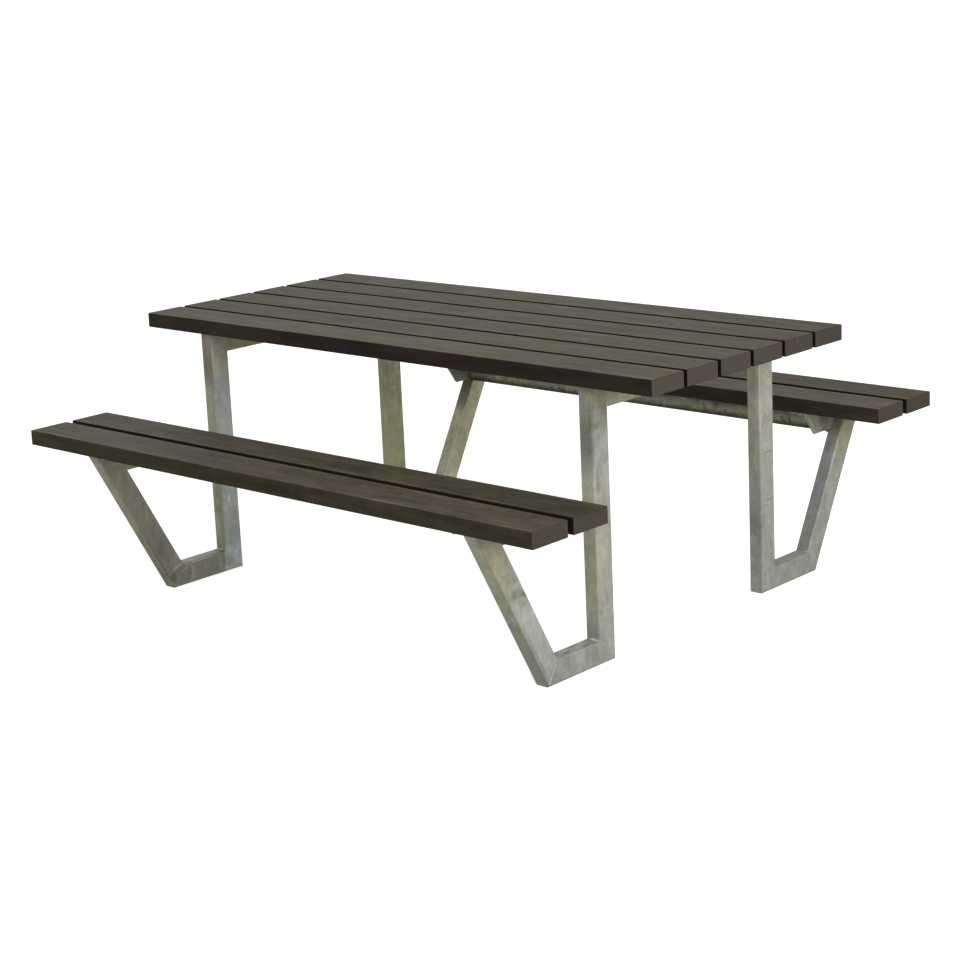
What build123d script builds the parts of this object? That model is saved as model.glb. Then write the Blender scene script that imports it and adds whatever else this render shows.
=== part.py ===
from build123d import *
import math
import os

os.makedirs("parts", exist_ok=True)

# ----------------------------------------------------------------------------
# Picnic table: two welded end frames of rectangular steel tube, a six-board
# top and two two-board benches.
# Millimetres.  X runs along the boards, Y from the front bench to the rear
# bench, Z up.  The origin is on the ground, in the middle of the table.
# ----------------------------------------------------------------------------

# boards
BOARD_L = 1770.0          # length of every board
BOARD_W = 118.0           # width of every board
BOARD_T = 40.0            # thickness of every board
BOARD_EASE = 3.0          # rounding of the long arrises
BOARD_END_EASE = 1.0      # small chamfer round the sawn ends

TOP_Z = 715.0             # height of the table surface
TOP_GAP = 12.0            # gap between two table boards
TOP_COUNT = 6

SEAT_Z = 465.0            # height of the bench surface
SEAT_OUT = 806.0          # outer edge of a bench, from the middle
SEAT_GAP = 18.0           # gap between the two boards of a bench

# rectangular tube of the end frames
TUBE_X = 40.0             # width across the frame
TUBE_D = 60.0             # depth in the plane of the frame
TUBE_R = 5.0              # outer corner radius
WALL = 3.0                # wall thickness
FRAME_X = 670.0           # centre plane of each end frame

LEG_IN = 303.0            # inner face of an upright, from the middle
LEG_OUT = LEG_IN + TUBE_D
FOOT_OUT = 550.0          # outer end of the ground tube, at the ground
LEAN = 28.25              # lean of the diagonals from the upright, degrees

# steel angle under each bench end
ANG_T = 6.0               # thickness of both legs
ANG_V = 65.0              # height of the upright leg
ANG_H = 50.0              # reach of the level leg, from the upright leg
ANG_ROOT = 5.0            # root radius
ANG_TIP_TOP = 557.0       # inner end of the upright leg, at its top
ANG_TIP_LOW = 602.0       # inner end of the upright leg, at its bottom
ANG_FL_IN = 566.0         # inner end of the level leg
ANG_FL_OUT = 788.0        # outer end of the level leg

# round pipe under the rear bench, and flat bars under all boards
PIPE_D = 60.3
PIPE_WALL = 3.2
SEAT_BAR_T = 12.0
TABLE_BAR_T = 8.0
BAR_W = 50.0
BAR_X = 215.0             # the flat bars stand at plus and minus this
SEAT_BAR_L = 180.0
TABLE_BAR_L = 700.0

# hex-head wood screws M8 with flat washers, driven from below
SCREW_D = 8.0
SCREW_AF = 13.0           # width across the flats of the head
SCREW_HEAD = 5.5
PILOT_D = 8.1             # hole in the board
CLEAR_D = 9.0             # hole in the steel
ACCESS_D = 20.0           # hole in the lower wall of a bearer, for the socket
WASHER_D = 17.0
WASHER_BORE = 8.6
WASHER_T = 1.6

# derived sizes
TOP_UNDER = TOP_Z - BOARD_T
SEAT_UNDER = SEAT_Z - BOARD_T
TOP_PITCH = BOARD_W + TOP_GAP
TOP_HALF = (TOP_COUNT * BOARD_W + (TOP_COUNT - 1) * TOP_GAP) / 2
SEAT_IN = SEAT_OUT - 2 * BOARD_W - SEAT_GAP
SEAT_MID = (SEAT_OUT + SEAT_IN) / 2
TAN_LEAN = math.tan(math.radians(LEAN))
LEAN_Y = math.sin(math.radians(LEAN))
LEAN_Z = math.cos(math.radians(LEAN))
DIAG_W = TUBE_D / LEAN_Z                  # level width of a diagonal
DIAG_TOP_OUT = FOOT_OUT + SEAT_UNDER * TAN_LEAN
ANG_LOW = SEAT_UNDER - ANG_V
DIAG_TOP_IN = DIAG_TOP_OUT - DIAG_W
DIAG_LOW_IN = FOOT_OUT + ANG_LOW * TAN_LEAN - DIAG_W
ROOT_OUT = DIAG_TOP_IN - (ANG_T + ANG_ROOT) * TAN_LEAN    # outer end of the root radius
MITRE_Y = FOOT_OUT - DIAG_W + TUBE_D * TAN_LEAN   # inner corner foot/diagonal
TUBE_IN = FRAME_X - TUBE_X / 2            # inner side of an end frame
SCREW_R6 = SCREW_AF / math.sqrt(3)        # corner radius of the hex head
PIPE_Z = SEAT_UNDER - SEAT_BAR_T - PIPE_D / 2

# screw positions across the table, one list for each support
BEARER_Y = [s * y for y in (35.0, 95.0, 165.0, 225.0, 283.0) for s in (-1, 1)]
TABLE_BAR_Y = [s * y for y in (65.0, 195.0, 320.0) for s in (-1, 1)]
ANG_SCREW_Y = [586.0, 640.0, 715.0, 768.0]
ANG_SCREW_X = TUBE_IN - ANG_H / 2
SEAT_BAR_Y = [611.0, 747.0]

BEARER_BITE = 28.0        # how far each kind of screw enters the board
TABLE_BAR_BITE = 26.0
ANGLE_BITE = 26.0
SEAT_BAR_BITE = 26.0

SIDES = (("left", -1), ("right", 1))
ENDS = (("front", -1), ("rear", 1))

# ----------------------------------------------------------------------------
# boards of the table top, numbered from the front
# ----------------------------------------------------------------------------
for i in range(TOP_COUNT):
    y0 = -TOP_HALF + i * TOP_PITCH
    frame_holes = [(sx * FRAME_X, y) for sx in (-1, 1) for y in BEARER_Y
                   if y0 < y < y0 + BOARD_W]
    bar_holes = [(sx * BAR_X, y) for sx in (-1, 1) for y in TABLE_BAR_Y
                 if y0 < y < y0 + BOARD_W]
    with BuildPart() as table_board:
        with BuildSketch(Plane(origin=(-BOARD_L / 2, y0 + BOARD_W / 2, TOP_Z - BOARD_T / 2),
                               x_dir=(0, 1, 0), z_dir=(1, 0, 0))):
            Rectangle(BOARD_W, BOARD_T)
        extrude(amount=BOARD_L)
        fillet(table_board.edges().filter_by(Axis.X), BOARD_EASE)
        chamfer(table_board.faces().filter_by(Axis.X).edges(), BOARD_END_EASE)
        with BuildSketch(Plane.XY.offset(TOP_UNDER)):
            with Locations(*frame_holes):
                Circle(PILOT_D / 2)
        extrude(amount=BEARER_BITE, mode=Mode.SUBTRACT)
        with BuildSketch(Plane.XY.offset(TOP_UNDER)):
            with Locations(*bar_holes):
                Circle(PILOT_D / 2)
        extrude(amount=TABLE_BAR_BITE, mode=Mode.SUBTRACT)
    table_board.part.label = f"table_board_{i + 1}"
    export_step(table_board.part, f"parts/table_board_{i + 1}.step")

# ----------------------------------------------------------------------------
# boards of the benches
# ----------------------------------------------------------------------------
for end, sy in ENDS:
    for place, mid in (("inner", SEAT_IN + BOARD_W / 2), ("outer", SEAT_OUT - BOARD_W / 2)):
        angle_holes = [(sx * ANG_SCREW_X, sy * y) for sx in (-1, 1) for y in ANG_SCREW_Y
                       if abs(y - mid) < BOARD_W / 2]
        bar_holes = [(sx * BAR_X, sy * y) for sx in (-1, 1) for y in SEAT_BAR_Y
                     if abs(y - mid) < BOARD_W / 2]
        with BuildPart() as bench_board:
            with BuildSketch(Plane(origin=(-BOARD_L / 2, sy * mid, SEAT_Z - BOARD_T / 2),
                                   x_dir=(0, 1, 0), z_dir=(1, 0, 0))):
                Rectangle(BOARD_W, BOARD_T)
            extrude(amount=BOARD_L)
            fillet(bench_board.edges().filter_by(Axis.X), BOARD_EASE)
            chamfer(bench_board.faces().filter_by(Axis.X).edges(), BOARD_END_EASE)
            with BuildSketch(Plane.XY.offset(SEAT_UNDER)):
                with Locations(*angle_holes):
                    Circle(PILOT_D / 2)
            extrude(amount=ANGLE_BITE, mode=Mode.SUBTRACT)
            with BuildSketch(Plane.XY.offset(SEAT_UNDER)):
                with Locations(*bar_holes):
                    Circle(PILOT_D / 2)
            extrude(amount=SEAT_BAR_BITE, mode=Mode.SUBTRACT)
        bench_board.part.label = f"{end}_bench_{place}_board"
        export_step(bench_board.part, f"parts/{end}_bench_{place}_board.step")

# ----------------------------------------------------------------------------
# end frames: tubes with mitred ends, welded into one zig-zag on the real table
# ----------------------------------------------------------------------------
for side, sx in SIDES:
    x = sx * FRAME_X

    # horizontal tube under the table top
    with BuildPart() as top_bearer:
        with BuildSketch(Plane(origin=(x, -LEG_OUT - 10, TOP_UNDER - TUBE_D / 2),
                               x_dir=(1, 0, 0), z_dir=(0, 1, 0))):
            RectangleRounded(TUBE_X, TUBE_D, TUBE_R)
            RectangleRounded(TUBE_X - 2 * WALL, TUBE_D - 2 * WALL, TUBE_R - WALL,
                             mode=Mode.SUBTRACT)
        extrude(amount=2 * LEG_OUT + 20)
        split(bisect_by=Plane(origin=(x, -LEG_OUT, TOP_UNDER), x_dir=(1, 0, 0),
                              z_dir=(0, 1, 1)), keep=Keep.TOP)
        split(bisect_by=Plane(origin=(x, LEG_OUT, TOP_UNDER), x_dir=(1, 0, 0),
                              z_dir=(0, -1, 1)), keep=Keep.TOP)
        with BuildSketch(Plane.XY.offset(TOP_UNDER - WALL - 1)):
            with Locations(*[(x, y) for y in BEARER_Y]):
                Circle(CLEAR_D / 2)
        extrude(amount=WALL + 2, mode=Mode.SUBTRACT)
        with BuildSketch(Plane.XY.offset(TOP_UNDER - TUBE_D - 1)):
            with Locations(*[(x, y) for y in BEARER_Y]):
                Circle(ACCESS_D / 2)
        extrude(amount=WALL + 2, mode=Mode.SUBTRACT)
    top_bearer.part.label = f"{side}_top_bearer"
    export_step(top_bearer.part, f"parts/{side}_top_bearer.step")

    for end, sy in ENDS:
        # upright leg, from the ground to the underside of the table top
        with BuildPart() as leg:
            with BuildSketch(Plane(origin=(x, sy * (LEG_IN + TUBE_D / 2), -10),
                                   x_dir=(1, 0, 0), z_dir=(0, 0, 1))):
                RectangleRounded(TUBE_X, TUBE_D, TUBE_R)
                RectangleRounded(TUBE_X - 2 * WALL, TUBE_D - 2 * WALL, TUBE_R - WALL,
                                 mode=Mode.SUBTRACT)
            extrude(amount=TOP_UNDER + 20)
            split(bisect_by=Plane(origin=(x, sy * LEG_OUT, TOP_UNDER), x_dir=(1, 0, 0),
                                  z_dir=(0, sy, -1)), keep=Keep.TOP)
            split(bisect_by=Plane(origin=(x, sy * LEG_IN, 0), x_dir=(1, 0, 0),
                                  z_dir=(0, -sy, 1)), keep=Keep.TOP)
        leg.part.label = f"{side}_{end}_leg"
        export_step(leg.part, f"parts/{side}_{end}_leg.step")

        # ground tube, running outward from the foot of the leg
        with BuildPart() as foot:
            with BuildSketch(Plane(origin=(x, sy * (LEG_IN - 10), TUBE_D / 2),
                                   x_dir=(1, 0, 0), z_dir=(0, sy, 0))):
                RectangleRounded(TUBE_X, TUBE_D, TUBE_R)
                RectangleRounded(TUBE_X - 2 * WALL, TUBE_D - 2 * WALL, TUBE_R - WALL,
                                 mode=Mode.SUBTRACT)
            extrude(amount=FOOT_OUT - LEG_IN + 20)
            split(bisect_by=Plane(origin=(x, sy * LEG_IN, 0), x_dir=(1, 0, 0),
                                  z_dir=(0, sy, -1)), keep=Keep.TOP)
            split(bisect_by=Plane(origin=(x, sy * FOOT_OUT, 0), x_dir=(1, 0, 0),
                                  z_dir=(0, -sy * TUBE_D, MITRE_Y - FOOT_OUT)), keep=Keep.TOP)
        foot.part.label = f"{side}_{end}_foot"
        export_step(foot.part, f"parts/{side}_{end}_foot.step")

        # diagonal, rising outward from the ground tube to the bench
        with BuildPart() as diagonal:
            with BuildSketch(Plane(origin=(x,
                                           sy * (FOOT_OUT - DIAG_W / 2 - 40 * LEAN_Y),
                                           -40 * LEAN_Z),
                                   x_dir=(1, 0, 0), z_dir=(0, sy * LEAN_Y, LEAN_Z))):
                RectangleRounded(TUBE_X, TUBE_D, TUBE_R)
                RectangleRounded(TUBE_X - 2 * WALL, TUBE_D - 2 * WALL, TUBE_R - WALL,
                                 mode=Mode.SUBTRACT)
            extrude(amount=SEAT_UNDER / LEAN_Z + 100)
            split(bisect_by=Plane(origin=(x, sy * FOOT_OUT, 0), x_dir=(1, 0, 0),
                                  z_dir=(0, sy * TUBE_D, FOOT_OUT - MITRE_Y)), keep=Keep.TOP)
            split(bisect_by=Plane(origin=(x, 0, SEAT_UNDER), x_dir=(1, 0, 0),
                                  z_dir=(0, 0, -1)), keep=Keep.TOP)
        diagonal.part.label = f"{side}_{end}_diagonal"
        export_step(diagonal.part, f"parts/{side}_{end}_diagonal.step")

        # steel angle: its upright leg butts on the inner edge of the diagonal,
        # flush with the inner side of the tube, and ends in a bevel towards the
        # table; its level leg turns inward under the boards and runs past the
        # diagonal
        with BuildPart() as seat_angle:
            with BuildSketch(Plane.YZ.offset(min(sx * TUBE_IN, sx * (TUBE_IN + ANG_T)))):
                with BuildLine():
                    Polyline((sy * ANG_TIP_TOP, SEAT_UNDER), (sy * DIAG_TOP_IN, SEAT_UNDER),
                             (sy * DIAG_LOW_IN, ANG_LOW), (sy * ANG_TIP_LOW, ANG_LOW),
                             close=True)
                make_face()
            extrude(amount=ANG_T)
            with BuildSketch(Plane(origin=(sx * (TUBE_IN - ANG_H / 2),
                                           sy * (ANG_FL_IN + ANG_FL_OUT) / 2,
                                           SEAT_UNDER - ANG_T))):
                Rectangle(ANG_H, ANG_FL_OUT - ANG_FL_IN)
            extrude(amount=ANG_T)
            # root radius, from the inner end of the level leg to the diagonal
            with BuildSketch(Plane.XZ.offset(-min(sy * ANG_FL_IN, sy * ROOT_OUT))):
                with Locations((sx * (TUBE_IN - ANG_ROOT / 2), SEAT_UNDER - ANG_T - ANG_ROOT / 2)):
                    Rectangle(ANG_ROOT, ANG_ROOT)
                with Locations((sx * (TUBE_IN - ANG_ROOT), SEAT_UNDER - ANG_T - ANG_ROOT)):
                    Circle(ANG_ROOT, mode=Mode.SUBTRACT)
            extrude(amount=-(ROOT_OUT - ANG_FL_IN))
            with BuildSketch(Plane.XY.offset(SEAT_UNDER - ANG_T)):
                with Locations(*[(sx * ANG_SCREW_X, sy * y) for y in ANG_SCREW_Y]):
                    Circle(CLEAR_D / 2)
            extrude(amount=ANG_T, mode=Mode.SUBTRACT)
        seat_angle.part.label = f"{side}_{end}_seat_angle"
        export_step(seat_angle.part, f"parts/{side}_{end}_seat_angle.step")

# ----------------------------------------------------------------------------
# round pipe under the rear bench, from end frame to end frame
# ----------------------------------------------------------------------------
with BuildPart() as rear_bench_pipe:
    with BuildSketch(Plane(origin=(-TUBE_IN, SEAT_MID, PIPE_Z),
                           x_dir=(0, 1, 0), z_dir=(1, 0, 0))):
        Circle(PIPE_D / 2)
        Circle(PIPE_D / 2 - PIPE_WALL, mode=Mode.SUBTRACT)
    extrude(amount=2 * TUBE_IN)
rear_bench_pipe.part.label = "rear_bench_pipe"
export_step(rear_bench_pipe.part, "parts/rear_bench_pipe.step")

# ----------------------------------------------------------------------------
# flat bars that tie the boards together between the end frames
# ----------------------------------------------------------------------------
for end, sy in ENDS:
    with BuildPart() as bench_bars:
        with BuildSketch(Plane.XY.offset(SEAT_UNDER - SEAT_BAR_T)):
            with Locations((-BAR_X, sy * SEAT_MID), (BAR_X, sy * SEAT_MID)):
                Rectangle(BAR_W, SEAT_BAR_L)
        extrude(amount=SEAT_BAR_T)
        with BuildSketch(Plane.XY.offset(SEAT_UNDER - SEAT_BAR_T)):
            with Locations(*[(s * BAR_X, sy * y) for s in (-1, 1) for y in SEAT_BAR_Y]):
                Circle(CLEAR_D / 2)
        extrude(amount=SEAT_BAR_T, mode=Mode.SUBTRACT)
    bench_bars.part.label = f"{end}_bench_cross_bars"
    export_step(bench_bars.part, f"parts/{end}_bench_cross_bars.step")

with BuildPart() as table_bars:
    with BuildSketch(Plane.XY.offset(TOP_UNDER - TABLE_BAR_T)):
        with Locations((-BAR_X, 0), (BAR_X, 0)):
            Rectangle(BAR_W, TABLE_BAR_L)
    extrude(amount=TABLE_BAR_T)
    with BuildSketch(Plane.XY.offset(TOP_UNDER - TABLE_BAR_T)):
        with Locations(*[(s * BAR_X, y) for s in (-1, 1) for y in TABLE_BAR_Y]):
            Circle(CLEAR_D / 2)
    extrude(amount=TABLE_BAR_T, mode=Mode.SUBTRACT)
table_bars.part.label = "table_cross_bars"
export_step(table_bars.part, "parts/table_cross_bars.step")

# ----------------------------------------------------------------------------
# screws and washers, all driven upward into the boards
# ----------------------------------------------------------------------------
bearer_pts = [(s * FRAME_X, y) for s in (-1, 1) for y in BEARER_Y]
table_bar_pts = [(s * BAR_X, y) for s in (-1, 1) for y in TABLE_BAR_Y]
angle_pts = [(s * ANG_SCREW_X, e * y) for s in (-1, 1) for e in (-1, 1) for y in ANG_SCREW_Y]
seat_bar_pts = [(s * BAR_X, e * y) for s in (-1, 1) for e in (-1, 1) for y in SEAT_BAR_Y]

for name, pts, seat, top in (
        ("table_bearer_screws", bearer_pts, TOP_UNDER - WALL, TOP_UNDER + BEARER_BITE),
        ("table_bar_screws", table_bar_pts, TOP_UNDER - TABLE_BAR_T, TOP_UNDER + TABLE_BAR_BITE),
        ("bench_angle_screws", angle_pts, SEAT_UNDER - ANG_T, SEAT_UNDER + ANGLE_BITE),
        ("bench_bar_screws", seat_bar_pts, SEAT_UNDER - SEAT_BAR_T, SEAT_UNDER + SEAT_BAR_BITE)):
    head_top = seat - WASHER_T
    with BuildPart() as screws:
        with BuildSketch(Plane.XY.offset(head_top - SCREW_HEAD)):
            with Locations(*pts):
                RegularPolygon(SCREW_R6, 6)
        extrude(amount=SCREW_HEAD)
        with BuildSketch(Plane.XY.offset(head_top)):
            with Locations(*pts):
                Circle(SCREW_D / 2)
        extrude(amount=top - 1.0 - head_top)
    screws.part.label = name
    export_step(screws.part, f"parts/{name}.step")

for name, groups in (
        ("table_washers", ((bearer_pts, TOP_UNDER - WALL), (table_bar_pts, TOP_UNDER - TABLE_BAR_T))),
        ("bench_washers", ((angle_pts, SEAT_UNDER - ANG_T), (seat_bar_pts, SEAT_UNDER - SEAT_BAR_T)))):
    with BuildPart() as washers:
        for pts, seat in groups:
            with BuildSketch(Plane.XY.offset(seat - WASHER_T)):
                with Locations(*pts):
                    Circle(WASHER_D / 2)
                    Circle(WASHER_BORE / 2, mode=Mode.SUBTRACT)
            extrude(amount=WASHER_T)
    washers.part.label = name
    export_step(washers.part, f"parts/{name}.step")
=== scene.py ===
import math
import random

import bmesh
import bpy
from mathutils import Matrix, Vector, noise


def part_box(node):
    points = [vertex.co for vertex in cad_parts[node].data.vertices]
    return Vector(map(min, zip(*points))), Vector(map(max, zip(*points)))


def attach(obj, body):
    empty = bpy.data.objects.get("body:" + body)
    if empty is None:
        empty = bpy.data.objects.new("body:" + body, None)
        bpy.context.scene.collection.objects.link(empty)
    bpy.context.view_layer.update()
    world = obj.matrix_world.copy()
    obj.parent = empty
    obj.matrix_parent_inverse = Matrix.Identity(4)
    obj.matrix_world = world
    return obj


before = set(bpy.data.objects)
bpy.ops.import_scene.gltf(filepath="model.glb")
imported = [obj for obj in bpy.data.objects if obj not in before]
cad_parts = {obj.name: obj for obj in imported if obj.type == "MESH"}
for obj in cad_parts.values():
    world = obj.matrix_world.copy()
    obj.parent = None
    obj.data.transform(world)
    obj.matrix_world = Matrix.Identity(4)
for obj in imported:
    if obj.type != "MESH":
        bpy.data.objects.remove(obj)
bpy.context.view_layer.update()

# --------------------------------------------------------------------------
# places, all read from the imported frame
# --------------------------------------------------------------------------
SIDES = (("left", -1.0), ("right", 1.0))
ENDS = (("front", -1.0), ("rear", 1.0))
TOP_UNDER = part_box("table_board_1")[0].z
TOP_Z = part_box("table_board_1")[1].z
SEAT_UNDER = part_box("front_bench_outer_board")[0].z
SEAT_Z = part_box("front_bench_outer_board")[1].z
LEG_LO, LEG_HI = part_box("right_rear_leg")
TUBE_X0, TUBE_X1 = LEG_LO.x, LEG_HI.x
TUBE_XM = (TUBE_X0 + TUBE_X1) / 2
LEG_IN, LEG_OUT = LEG_LO.y, LEG_HI.y
TUBE_D = LEG_OUT - LEG_IN
FOOT_LO, FOOT_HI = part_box("right_rear_foot")
FOOT_OUT = FOOT_HI.y
DIAG_LO, DIAG_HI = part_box("right_rear_diagonal")
DIAG_TOP = DIAG_HI.y
LEAN = math.atan2(DIAG_TOP - FOOT_OUT, SEAT_UNDER)
DIAG_W = TUBE_D / math.cos(LEAN)
MITRE_Y = FOOT_OUT - DIAG_W + TUBE_D * math.tan(LEAN)
ANG_LO, ANG_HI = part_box("right_rear_seat_angle")
PIPE_LO, PIPE_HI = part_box("rear_bench_pipe")
BEAR_LO, BEAR_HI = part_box("right_top_bearer")
LEAN_AT = lambda z: FOOT_OUT + z * math.tan(LEAN)      # outer edge of a diagonal


# --------------------------------------------------------------------------
# node helpers
# --------------------------------------------------------------------------
class Tree:
    """Builds a node tree with short calls; every value that isn't a socket is set directly."""

    def __init__(self, nt):
        self.nt = nt
        nt.nodes.clear()

    def add(self, kind, props=None, **inputs):
        n = self.nt.nodes.new(kind)
        for k, v in (props or {}).items():
            setattr(n, k, v)
        for k, v in inputs.items():
            self.set(n, k, v)
        return n

    def set(self, n, key, v):
        name = key.replace("_", " ")
        sock = None
        if key.startswith("i") and key[1:].isdigit():
            sock = n.inputs[int(key[1:])]
        else:
            for s in n.inputs:
                if s.name.lower() == name.lower() and s.enabled:
                    sock = s
                    break
        if isinstance(v, bpy.types.NodeSocket):
            self.nt.links.new(v, sock)
        elif isinstance(v, bpy.types.Node):
            self.nt.links.new(v.outputs[0], sock)
        else:
            sock.default_value = v

    def math(self, op, a, b=None, c=None, clamp=False):
        n = self.add("ShaderNodeMath", {"operation": op, "use_clamp": clamp}, i0=a)
        if b is not None:
            self.set(n, "i1", b)
        if c is not None:
            self.set(n, "i2", c)
        return n.outputs[0]

    def vmath(self, op, a, b=None):
        n = self.add("ShaderNodeVectorMath", {"operation": op}, i0=a)
        if b is not None:
            self.set(n, "i1", b)
        return n.outputs["Value"] if op in ("DOT_PRODUCT", "LENGTH", "DISTANCE") else n.outputs[0]

    def step(self, v, lo, hi, a=0.0, b=1.0):
        n = self.add("ShaderNodeMapRange", {"interpolation_type": "SMOOTHSTEP", "clamp": True},
                     Value=v, From_Min=lo, From_Max=hi, To_Min=a, To_Max=b)
        return n.outputs[0]

    def lin(self, v, lo, hi, a=0.0, b=1.0):
        n = self.add("ShaderNodeMapRange", {"interpolation_type": "LINEAR", "clamp": True},
                     Value=v, From_Min=lo, From_Max=hi, To_Min=a, To_Max=b)
        return n.outputs[0]

    def place(self, vec, scale=(1, 1, 1), loc=(0, 0, 0)):
        n = self.add("ShaderNodeMapping", {"vector_type": "POINT"}, Vector=vec, Scale=scale, Location=loc)
        return n.outputs[0]

    def noise(self, vec, scale, detail=2.0, rough=0.5, dist=0.0, out="Fac"):
        n = self.add("ShaderNodeTexNoise", {"noise_dimensions": "3D"}, Vector=vec, Scale=scale,
                     Detail=detail, Roughness=rough, Distortion=dist)
        return n.outputs[out] if out in n.outputs else n.outputs[0]

    def cells(self, vec, scale, out="Color", feature="F1", rnd=1.0):
        n = self.add("ShaderNodeTexVoronoi", {"voronoi_dimensions": "3D", "feature": feature},
                     Vector=vec, Scale=scale)
        if "Randomness" in n.inputs:
            n.inputs["Randomness"].default_value = rnd
        return n.outputs[out]

    def mix(self, f, a, b, mode="MIX"):
        n = self.nt.nodes.new("ShaderNodeMix")
        n.data_type = "RGBA"
        n.blend_type = mode
        n.clamp_factor = True
        cols = [s for s in n.inputs if s.type == "RGBA"]
        fac = [s for s in n.inputs if s.name == "Factor" and s.type == "VALUE"][0]
        for sock, v in ((fac, f), (cols[0], a), (cols[1], b)):
            if isinstance(v, bpy.types.NodeSocket):
                self.nt.links.new(v, sock)
            elif isinstance(v, (tuple, list)):
                sock.default_value = (*v[:3], 1.0)
            else:
                sock.default_value = v
        return [s for s in n.outputs if s.type == "RGBA"][0]

    def scaled(self, v, k):
        n = self.add("ShaderNodeVectorMath", {"operation": "SCALE"}, i0=v)
        n.inputs["Scale"].default_value = k
        return n.outputs[0]

    def grey(self, v):
        n = self.add("ShaderNodeCombineColor", None, Red=v, Green=v, Blue=v)
        return n.outputs[0]

    def sep(self, v):
        n = self.add("ShaderNodeSeparateXYZ", None, Vector=v)
        return n.outputs


def principled(t, **inputs):
    b = t.add("ShaderNodeBsdfPrincipled")
    for k, v in inputs.items():
        name = k.replace("_", " ")
        sock = b.inputs[name]
        if isinstance(v, bpy.types.NodeSocket):
            t.nt.links.new(v, sock)
        elif isinstance(v, (tuple, list)) and sock.type == "RGBA":
            sock.default_value = (*v[:3], 1.0)
        else:
            sock.default_value = v
    o = t.add("ShaderNodeOutputMaterial")
    t.nt.links.new(b.outputs[0], o.inputs["Surface"])
    return b


def bump(t, height, strength, distance, under=None):
    n = t.add("ShaderNodeBump", None, Strength=strength, Distance=distance, Height=height)
    if under is not None:
        t.nt.links.new(under, n.inputs["Normal"])
    return n.outputs[0]


def blemish(t, p, wob, centre, u, v, half, reach=0.012, soft=0.35, warp=0.0, kind="round"):
    """A mask, 1 inside, for a mark on a flat face. u and v lie in the face, half gives the
    half sizes along them, reach how far off the face the mark goes."""
    u, v = Vector(u).normalized(), Vector(v).normalized()
    w = u.cross(v)
    d = t.vmath("SUBTRACT", p, tuple(centre))
    c = t.math("ABSOLUTE", t.vmath("DOT_PRODUCT", d, tuple(w)))
    if warp:
        d = t.vmath("ADD", d, t.scaled(wob, warp))
    a = t.math("DIVIDE", t.vmath("DOT_PRODUCT", d, tuple(u)), half[0])
    b = t.math("DIVIDE", t.vmath("DOT_PRODUCT", d, tuple(v)), half[1])
    if kind == "box":
        r = t.math("MAXIMUM", t.math("ABSOLUTE", a), t.math("ABSOLUTE", b))
    else:
        r = t.math("SQRT", t.math("ADD", t.math("MULTIPLY", a, a), t.math("MULTIPLY", b, b)))
    if kind == "ring":
        r = t.math("DIVIDE", t.math("ABSOLUTE", t.math("SUBTRACT", r, 1.0)), soft)
        m = t.step(r, 1.0, 0.2)
    else:
        m = t.step(r, 1.0 + soft / 2, 1.0 - soft)
    return t.math("MULTIPLY", m, t.step(c, reach, reach * 0.7))


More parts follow.
